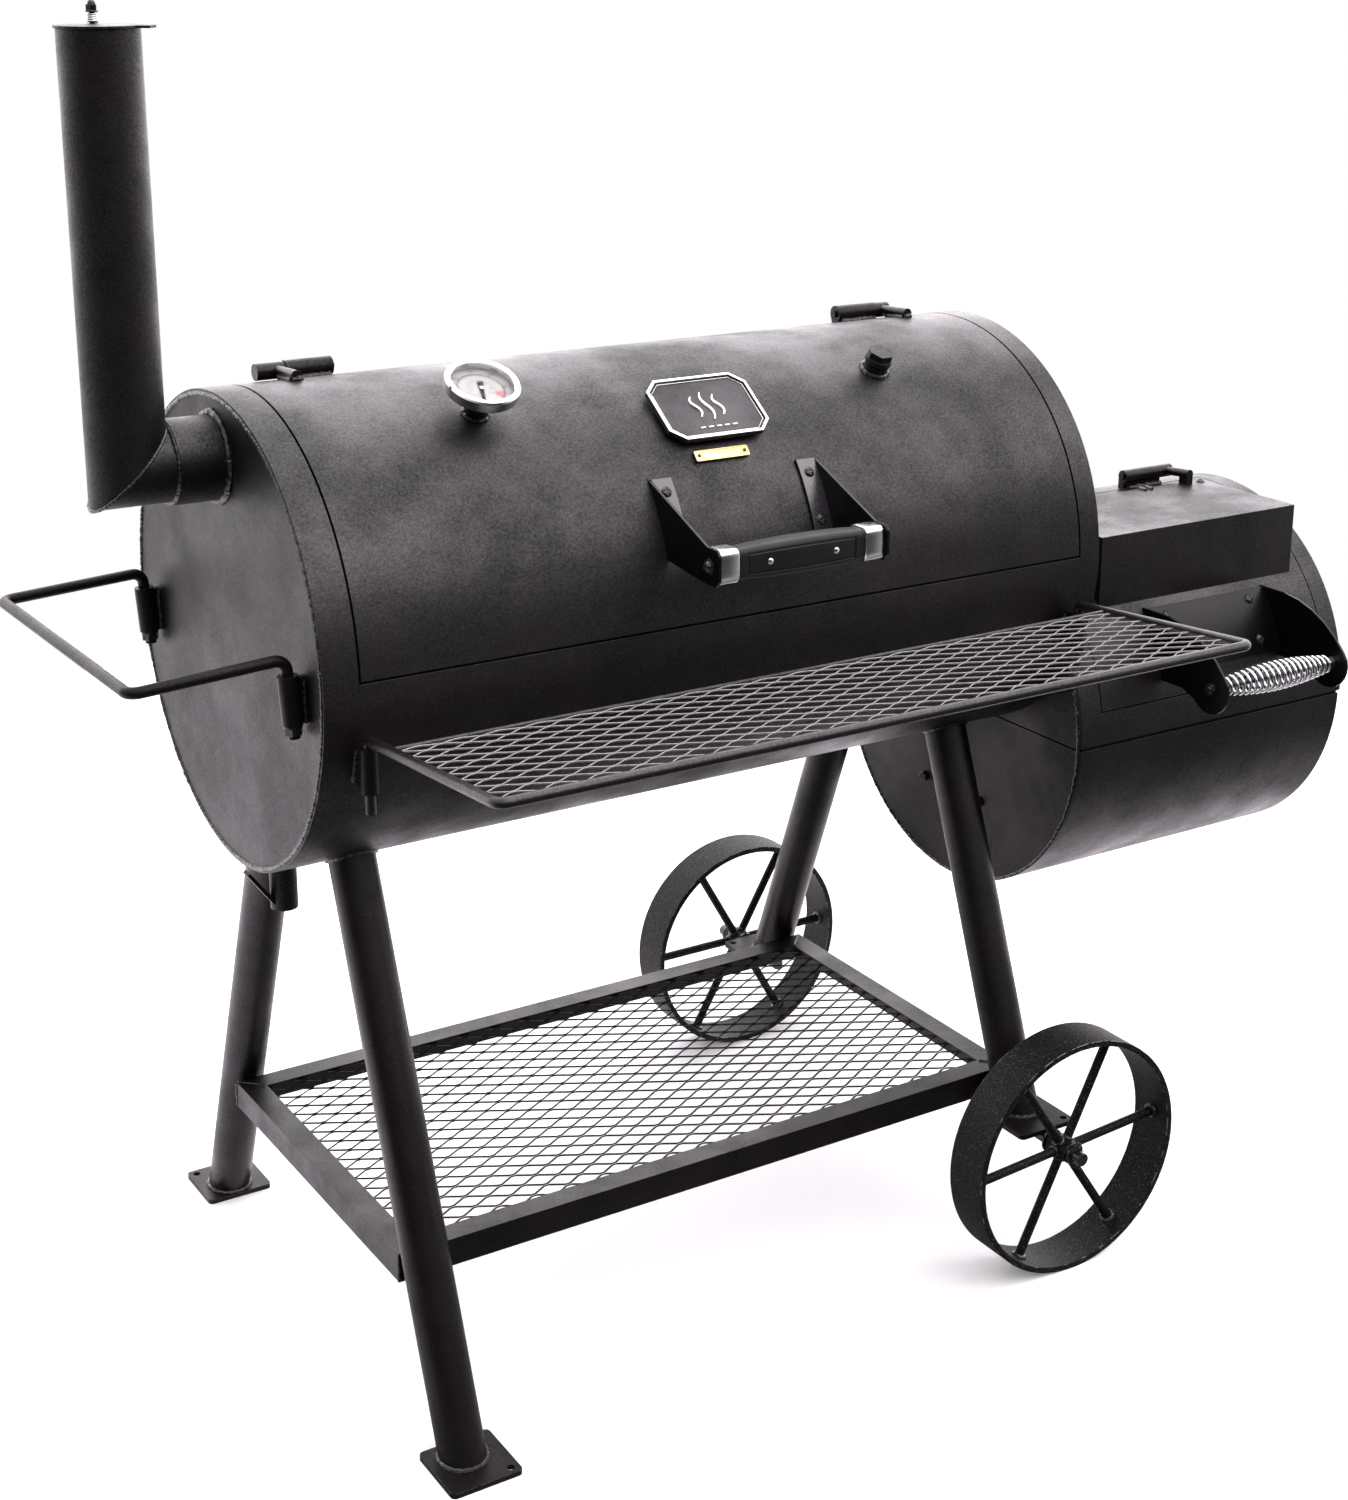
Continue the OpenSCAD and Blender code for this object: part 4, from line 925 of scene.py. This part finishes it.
def make_screws():
    lid_heads = []
    for lo, hi in islands("lid_screws"):
        spot = (lo + hi) / 2
        lid_heads += screw(on_shell(spot.x, shell_angle(spot), DRUM_R + 0.003), 0.0032, 0.0075)
    ob = piece("lid_bracket_screws", join(*lid_heads), MATERIALS["bolt_steel"], "lid")
    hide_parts("lid_screws")
    door_heads = []
    box_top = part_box("firebox_door")[1].z
    for lo, hi in islands("door_bolts"):
        spot = (lo + hi) / 2
        if hi.z > box_top:
            door_heads += screw(at(spot.x, spot.y, box_top), 0.0034, 0.0065)
        else:
            place = on_shell(spot.x, shell_angle(spot, FB_Z), FB_R + 0.003, FB_Z)
            door_heads += screw(place, 0.0034, 0.0095)
    ob = piece("door_bolt_heads", join(*door_heads), MATERIALS["bolt_steel"], "door")
    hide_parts("door_bolts")


make_screws()


# ---------- bracket flanges and firebox seam ----------
def make_flange_faces():
    """Smooth lighter faces laid over the two screwed flanges of the lid handle: a painted highlight."""
    parts = []
    sheet, first_angle, sweep = 0.0004, 18.75, 18.5
    for lo, hi in islands("handle_brackets"):
        left = lo.x < middle("handle_grip").x
        x0, x1 = (lo.x + 0.0031, hi.x - 0.0004) if left else (lo.x + 0.0004, hi.x - 0.0031)
        rings = []
        for k in range(15):
            low = on_shell(0, first_angle + sweep * k / 14, DRUM_R + 0.0030)
            rings.append([low @ Vector((x, 0, h)) for x, h in ((x0, 0), (x1, 0), (x1, sheet), (x0, sheet))])
        parts.append(skin(rings))
    piece("lid_bracket_flange_highlight", join(*parts), FLANGE_HIGHLIGHT_PAINT, "lid")


def make_firebox_seam():
    """Dark strip lying in the split between the firebox halves: a painted shadow in the gap."""
    strips = []
    for side in (-1, 1):
        y = DRUM_Y + side * (FB_R - 0.0021)
        path = [(FB_LO.x + 0.004, y, FB_Z), (FB_HI.x - 0.008, y, FB_Z)]
        strips.append(tube(path, 0.0016, 10))
    piece("firebox_seam_shadow", join(*strips), SEAM_SHADOW_BLACK, "grill")


make_flange_faces()
make_firebox_seam()


# ---------- badge and name plate ----------
def make_badge():
    spot = middle("badge_plate")
    place = on_shell(spot.x, shell_angle(spot))

    def outline(less=0.0, cut=0.015):
        return cut_corner_outline(0.126 - less, 0.088 - less, cut)

    back = prism(outline(), 0.004, 0.0072)
    # painted shade: the rim's walls are in the dark plate paint, with silver only at the top, for the shade on its
    # sides
    wall = rim(outline(), outline(0.0066, 0.0135), 0.0070, 0.0091)
    feet = [moved(rod(0.005, 0.0, 0.0042, 32), at(s * 0.04, 0, 0)) for s in (-1, 1)]
    plate = moved(join(back, wall, *feet), place)
    ob = piece("badge_back", plate, MATERIALS["plate_metal"], "lid")
    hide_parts("badge_plate")
    border = rim(outline(0.0002), outline(0.0064, 0.0135), 0.0088, 0.0100)
    line = rim(outline(0.0105, 0.0126), outline(0.0122, 0.01215), 0.0068, 0.0082)
    waves = []
    for k in (-1, 0, 1):
        tall = 0.040 if k == 0 else 0.030
        points = []
        for i in range(33):
            share = i / 32
            points.append((k * 0.014 + 0.0034 * sin(2 * pi * share), (share - 0.5) * tall + 0.0015, 0.0074))
        width = lambda i: 0.0021 * (0.35 + 0.65 * sin(pi * min(max(i / 32, 0.02), 0.98)))
        waves.append(tube(points, width, 10))
    for k in range(5):
        x = (k - 2) * 0.010 - 0.0031
        waves.append(tube([(x, -0.0285, 0.0074), (x + 0.0062, -0.0285, 0.0074)], 0.0011, 10))
    piece("badge_rim_and_waves", moved(join(border, line, *waves), place), SILVER, "lid")


def make_name_plate():
    spot = middle("name_plate")
    place = on_shell(spot.x, shell_angle(spot))
    plate = prism(rounded_box_outline(0.067, 0.013, 0.0022), 0.0028, 0.0048, 0.0006)
    lines = rounded_box_outline(0.050, 0.0095, 0.001), rounded_box_outline(0.049, 0.0086, 0.0008)
    inner = rim(*lines, 0.0046, 0.00515)
    backing = prism(rounded_box_outline(0.0664, 0.0126, 0.0022), 0.0005, 0.0029)
    piece("brass_plate_backing", moved(backing, place), MATERIALS["plate_metal"], "lid")
    ob = piece("brass_plate", moved(join(plate, inner), place), MATERIALS["brass"], "lid")
    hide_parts("name_plate")
    pin_profile = [(0, 0.0), (0.0015, 0.0), (0.0015, 0.0048), (0.0021, 0.0048), (0.0017, 0.0057), (0, 0.0060)]
    pin = lathe(pin_profile, 32)
    pins = [moved(pin, at(s * 0.0285, 0, 0)) for s in (-1, 1)]
    piece("brass_plate_pins", moved(join(*pins), place), MATERIALS["bolt_steel"], "lid")


make_badge()
make_name_plate()


# ---------- thermometer ----------
def digits(text, size, place):
    """Numbers for the dial, as flat meshes."""
    curve = bpy.data.curves.new("dial_number", "FONT")
    curve.body, curve.size, curve.align_x, curve.align_y = text, size, "CENTER", "CENTER"
    curve.extrude, curve.resolution_u = 0.00004, 3
    ob = bpy.data.objects.new("dial_number", curve)
    bpy.context.scene.collection.objects.link(ob)
    mesh = bpy.data.meshes.new_from_object(ob)
    verts = [place @ v.co for v in mesh.vertices]
    faces = [tuple(p.vertices) for p in mesh.polygons]
    bpy.data.objects.remove(ob)
    bpy.data.curves.remove(curve)
    bpy.data.meshes.remove(mesh)
    return verts, faces


def dial_bar(angle, r0, r1, width, height=0.00008):
    """A short radial mark; the angle is clockwise in degrees from the top of the dial."""
    w = width / 2
    box = prism([(-w, r0), (w, r0), (w, r1), (-w, r1)], 0, height)
    return moved(box, Matrix.Rotation(-radians(angle), 4, "Z"))


def dial_arc(a0, a1, r0, r1, height=0.00008):
    steps = max(4, int(abs(a1 - a0) / 4))
    outline = []
    for r, order in ((r1, range(steps + 1)), (r0, range(steps, -1, -1))):
        for k in order:
            t = radians(90 - (a0 + (a1 - a0) * k / steps))
            outline.append((r * cos(t), r * sin(t)))
    count = len(outline)
    verts = [Vector((*p, 0)) for p in outline] + [Vector((*p, height)) for p in outline]
    faces = []
    for k in range(count // 2 - 1):
        a, b = k, count - 1 - k
        faces.append((a + count, a + 1 + count, b - 1 + count, b + count))
        faces.append((a, b, b - 1, a + 1))
        faces.append((a, a + 1, a + 1 + count, a + count))
        faces.append((b - 1, b, b + count, b - 1 + count))
    half = count // 2
    faces.append((0, count, 2 * count - 1, count - 1))
    faces.append((half - 1, half, half + count, half - 1 + count))
    return verts, faces


def above_dial(x, height):
    """The dial's own frame, at a height over its middle plane."""
    dial = middle("thermometer_dial")
    out = Vector((0, dial.y - DRUM_Y, dial.z - DRUM_Z)).length - DRUM_R
    return on_shell(x, shell_angle(dial)) @ at(0, 0, out + height)


def make_dial():
    place = above_dial(middle("thermometer_dial").x, 0.00053)
    first, last, top = -135.0, 135.0, 12
    marks = [dial_arc(first, last, 0.0238, 0.0244), dial_arc(first, last, 0.0145, 0.01475)]
    for k in range(5 * top + 1):
        big = k % 5 == 0
        turn = first + (last - first) * k / (5 * top)
        marks.append(dial_bar(turn, 0.0243, 0.0268 if big else 0.0258, 0.0013 if big else 0.0007))
        if k % 3 == 0:
            marks.append(dial_bar(turn, 0.0132, 0.0146, 0.0004))
    for k in range(0, top + 1, 2):
        turn = radians(first + (last - first) * k / top)
        for text, radius, size in ((str(50 + 50 * k), 0.0298, 0.0054), (str(10 + 25 * k), 0.0106, 0.0033)):
            spot = at(radius * sin(turn), radius * cos(turn), 0)
            marks.append(digits(text, size, spot))
    piece("dial_marks", moved(join(*marks), place), PRINT_BLACK, "lid", smooth=False)
    red = dial_arc(110, 134, 0.0155, 0.0240)
    piece("dial_red_zone", moved(red, place), PRINT_RED, "lid", smooth=False)


def make_pointer():
    place = above_dial(Vector(JOINTS["pointer_turn"]["pos_m"]).x, 0.0022)
    rest = Matrix.Rotation(-radians(106), 4, "Z")
    lower = [(-0.0105, -0.0030), (-0.0035, -0.0030), (0.0, -0.0024), (0.0255, -0.0011)]
    upper = [(x, -y) for x, y in reversed(lower)]
    needle = prism(lower + upper, 0.0, 0.0006, 0.00012)
    needle = moved(needle, place @ rest)
    ob = piece("thermometer_needle", needle, MATERIALS["pointer_black"], "pointer")
    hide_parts("thermometer_pointer")
    hub = lathe([(0, -0.001), (0.0022, -0.001), (0.0022, 0.0008), (0.0016, 0.0014), (0, 0.0016)], 40)
    piece("thermometer_hub", moved(hub, place), MATERIALS["chrome"], "pointer")


make_dial()
make_pointer()


# ---------- welds ----------
X_AXIS = Vector((1, 0, 0))
LEG_SLOPE = 0.379  # run over rise of the legs, seen from the end


def make_drum_welds():
    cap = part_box("drum_cap_left")
    collar_lo, collar_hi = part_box("chimney_collar")
    collar = (collar_lo + collar_hi) / 2
    collar_r = (collar_hi.y - collar_lo.y) / 2
    left = ring_path((DRUM_LO.x + 0.0006, DRUM_Y, DRUM_Z), X_AXIS, DRUM_R - 0.0046, 240)
    right = ring_path((DRUM_HI.x - 0.0006, DRUM_Y, DRUM_Z), X_AXIS, DRUM_R - 0.0040, 240)
    beads = [
        bead(left, 0.0027, True, 1, rough=0.24),
        bead(right, 0.0024, True, 2, rough=0.26),
        bead(ring_path((cap[0].x - 0.001, collar.y, collar.z), X_AXIS, collar_r + 0.0015), 0.0045, True, 3),
    ]
    pipe_lo, pipe_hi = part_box("chimney_pipe")
    pipe_x, pipe_r = (pipe_lo.x + pipe_hi.x) / 2, (pipe_hi.y - pipe_lo.y) / 2
    mitre = []
    for t in turns(96):
        out = pipe_r * cos(t)
        mitre.append((pipe_x + out, collar.y + pipe_r * sin(t), collar.z + out))
    beads.append(bead(mitre, 0.0019, True, 4))
    beads.append(bead(ring_path((collar_lo.x, collar.y, collar.z), X_AXIS, pipe_r + 0.0008), 0.0028, True, 5))
    drain_lo, drain_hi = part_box("drain_pipe")
    drain = (drain_lo + drain_hi) / 2
    drain_r = (drain_hi.x - drain_lo.x) / 2
    saddle = []
    for t in turns(48):
        x, y = drain_r * cos(t), drain_r * sin(t)
        saddle.append((drain.x + x, DRUM_Y + y, DRUM_Z - sqrt(DRUM_R ** 2 - y * y)))
    beads.append(bead(saddle, 0.0022, True, 6))
    piece("drum_welds", join(*beads), WELD, "grill")


def saddle_path(centre, direction, radius):
    """Where a round tube through a point, along a direction, meets the drum above it."""
    direction = direction.normalized()
    other = direction.cross(X_AXIS).normalized()
    dy, dz = direction.y, direction.z
    made = []
    for t in turns(60):
        p = Vector(centre) + (X_AXIS * cos(t) + other * sin(t)) * radius
        py, pz = p.y - DRUM_Y, p.z - DRUM_Z
        b = py * dy + pz * dz
        c = py * py + pz * pz - DRUM_R * DRUM_R
        root = b * b - c * (dy * dy + dz * dz)
        if root > 0:
            made.append(p + direction * (-b - sqrt(root)) / (dy * dy + dz * dz))
    return made


def make_leg_welds():
    beads, feet = [], []
    lean = sqrt(1 + LEG_SLOPE ** 2)
    for name in ("leg_front_left", "leg_rear_left", "leg_front_right", "leg_rear_right"):
        lo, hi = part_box(name)
        side = -1 if "front" in name else 1
        x = (lo.x + hi.x) / 2
        r = (hi.x - lo.x) / 2
        bottom = lo.z
        foot_y = (lo.y if side < 0 else hi.y) - side * r * lean
        direction = Vector((0, -side * LEG_SLOPE, 1)).normalized()
        ring = [(x + r * cos(t), foot_y + r * lean * sin(t), bottom + 0.0008) for t in turns(60)]
        feet.append(bead(ring, 0.0034, True, 10 + x))
        top = saddle_path((x, foot_y, bottom), direction, r + 0.0004)
        beads.append(bead(top, 0.0032, True, 20 + x))
    for lo, hi in islands("shelf_lugs"):
        inner = lo.y if lo.y > DRUM_Y else hi.y
        outer = hi.y if lo.y > DRUM_Y else lo.y
        for x in (lo.x, hi.x):
            beads.append(bead([(x, inner, lo.z), (x, inner, hi.z)], 0.0026, seed=x))
            beads.append(bead([(x, outer, lo.z), (x, outer * 0.985, hi.z)], 0.0026, seed=x + 1))
        beads.append(bead([(lo.x, inner, hi.z), (hi.x, inner, hi.z)], 0.0026, seed=lo.x))
    frame_lo, frame_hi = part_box("bottom_shelf_frame")
    for x, sx in ((frame_lo.x, 1), (frame_hi.x, -1)):
        for y, sy in ((frame_lo.y, 1), (frame_hi.y, -1)):
            corner = [(x + sx * d, y + sy * d, frame_hi.z) for d in (0.001, 0.027)]
            beads.append(bead(corner, 0.0016, seed=x + y))
            beads.append(bead([(x, y, frame_hi.z - 0.001), (x, y, frame_lo.z + 0.001)], 0.0018, seed=x - y))
    piece("leg_foot_welds", join(*feet), HOT_WELD, "grill")
    piece("leg_and_shelf_welds", join(*beads), WELD, "grill")


def make_socket_welds():
    beads = []
    for lo, hi in islands("shelf_sockets"):
        middle_x = (lo.x + hi.x) / 2
        for side in (-1, 1):
            path = []
            for k in range(9):
                z = lo.z + 0.004 + (hi.z - lo.z - 0.008) * k / 8
                path.append((middle_x + side * 0.0045, DRUM_Y - sqrt(DRUM_R ** 2 - (z - DRUM_Z) ** 2), z))
            beads.append(bead(path, 0.0030, seed=middle_x + side))
    for lo, hi in islands("bail_sockets"):
        y = (lo.y + hi.y) / 2
        for side in (-1, 1):
            edge = y + side * 0.0045
            path = [(DRUM_LO.x, edge, lo.z + 0.002), (DRUM_LO.x, edge, hi.z - 0.003)]
            beads.append(bead(path, 0.0030, seed=edge))
    firebox = ring_path((FB_LO.x + 0.0004, DRUM_Y, FB_Z), X_AXIS, FB_R - 0.0024, 240)
    beads.append(bead(firebox, 0.0021, True, 7, rough=0.4))
    piece("socket_and_firebox_welds", join(*beads), WELD, "grill")


def make_barrel_welds():
    """Beads between the hinge barrels and the sheets under them."""
    fixed = []
    for joint, radius, z in (("lid_hinge", DRUM_R, DRUM_Z), ("door_hinge", FB_R, FB_Z)):
        pivot = Vector(JOINTS[joint]["pos_m"])
        turn = shell_angle(pivot, z)
        for lo, hi in islands("drum_hinge_knuckles"):
            start, stop = lo.x + 0.003, hi.x - 0.003
            if abs((lo.z + hi.z) / 2 - pivot.z) > 0.05:
                continue
            for step in (-1.6, 1.6):
                path = [on_shell(x, turn + step, radius, z) @ Vector((0, 0, 0.0012)) for x in (start, stop)]
                fixed.append(bead(path, 0.0034, seed=start + step))
    piece("hinge_barrel_welds", join(*fixed), WELD, "grill")


def make_lid_welds():
    """Beads along the lid's hinge stubs and round the thermometer's and the plug's collars."""
    beads = []
    turn = shell_angle(Vector(JOINTS["lid_hinge"]["pos_m"]))
    arms_lo, arms_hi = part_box("lid_hinge_arms")
    for stub_x in (arms_lo.x + 0.024, arms_hi.x - 0.009):
        for side in (-1, 1):
            x = stub_x + side * 0.0055
            path = [on_shell(x, turn - step) @ Vector((0, 0, 0.0008)) for step in (4.5, 7, 9.5, 12)]
            beads.append(bead(path, 0.0030, seed=stub_x + side))
        tip = [on_shell(stub_x + side * 0.005, turn - 12.4) @ Vector((0, 0, 0.002)) for side in (-1, 1)]
        beads.append(bead(tip, 0.0034, seed=stub_x))
    plug = islands("lid_fittings")[1]
    for (lo, hi), spot, radius, thick in (
        (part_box("thermometer_case"), middle("thermometer_dial"), 0.0135, 0.0026),
        (plug, (plug[0] + plug[1]) / 2, 0.0150, 0.0034),
    ):
        x = (lo.x + hi.x) / 2
        place = on_shell(x, shell_angle(spot))
        ring = []
        for t in turns(48):
            u, v = radius * cos(t), radius * sin(t)
            ring.append(place @ Vector((u, v, sqrt(DRUM_R ** 2 - v * v) - DRUM_R + 0.001)))
        beads.append(bead(ring, thick, True, x))
    piece("lid_welds", join(*beads), WELD, "lid")


def make_door_arm_welds():
    beads = []
    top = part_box("firebox_door")[1].z + 0.001
    for lo, hi in islands("door_hinge_arms"):
        stub = 0.0095 if hi.x > 0.6 else 0.0075
        front = lo.y + 0.004
        for side in (-1, 1):
            x = lo.x + stub + side * 0.0052
            beads.append(bead([(x, front, top), (x, front + 0.013, top)], 0.0028, seed=lo.x + stub + side))
    piece("door_arm_welds", join(*beads), WELD, "door")


def make_wheel_welds():
    """Beads where the spokes meet the rim and the hub."""
    for name, phase in (("wheel_front", 4), ("wheel_rear", 0)):
        lo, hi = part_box(name)
        centre = (lo + hi) / 2
        rim_inside = (hi.x - lo.x) / 2 - 0.007
        beads = []
        for i in range(6):
            turn = radians(phase + 60 * i)
            out = Vector((cos(turn), 0, sin(turn)))
            at_rim, at_hub = centre + out * (rim_inside - 0.0008), centre + out * 0.0138
            beads.append(bead(ring_path(at_rim, out, 0.0070, 30), 0.0030, True, i))
            beads.append(bead(ring_path(at_hub, out, 0.0060, 30), 0.0022, True, 10 + i))
        piece(name + "_welds", join(*beads), HOT_WELD, name)


make_drum_welds()
make_leg_welds()
make_socket_welds()
make_barrel_welds()
make_lid_welds()
make_door_arm_welds()
make_wheel_welds()
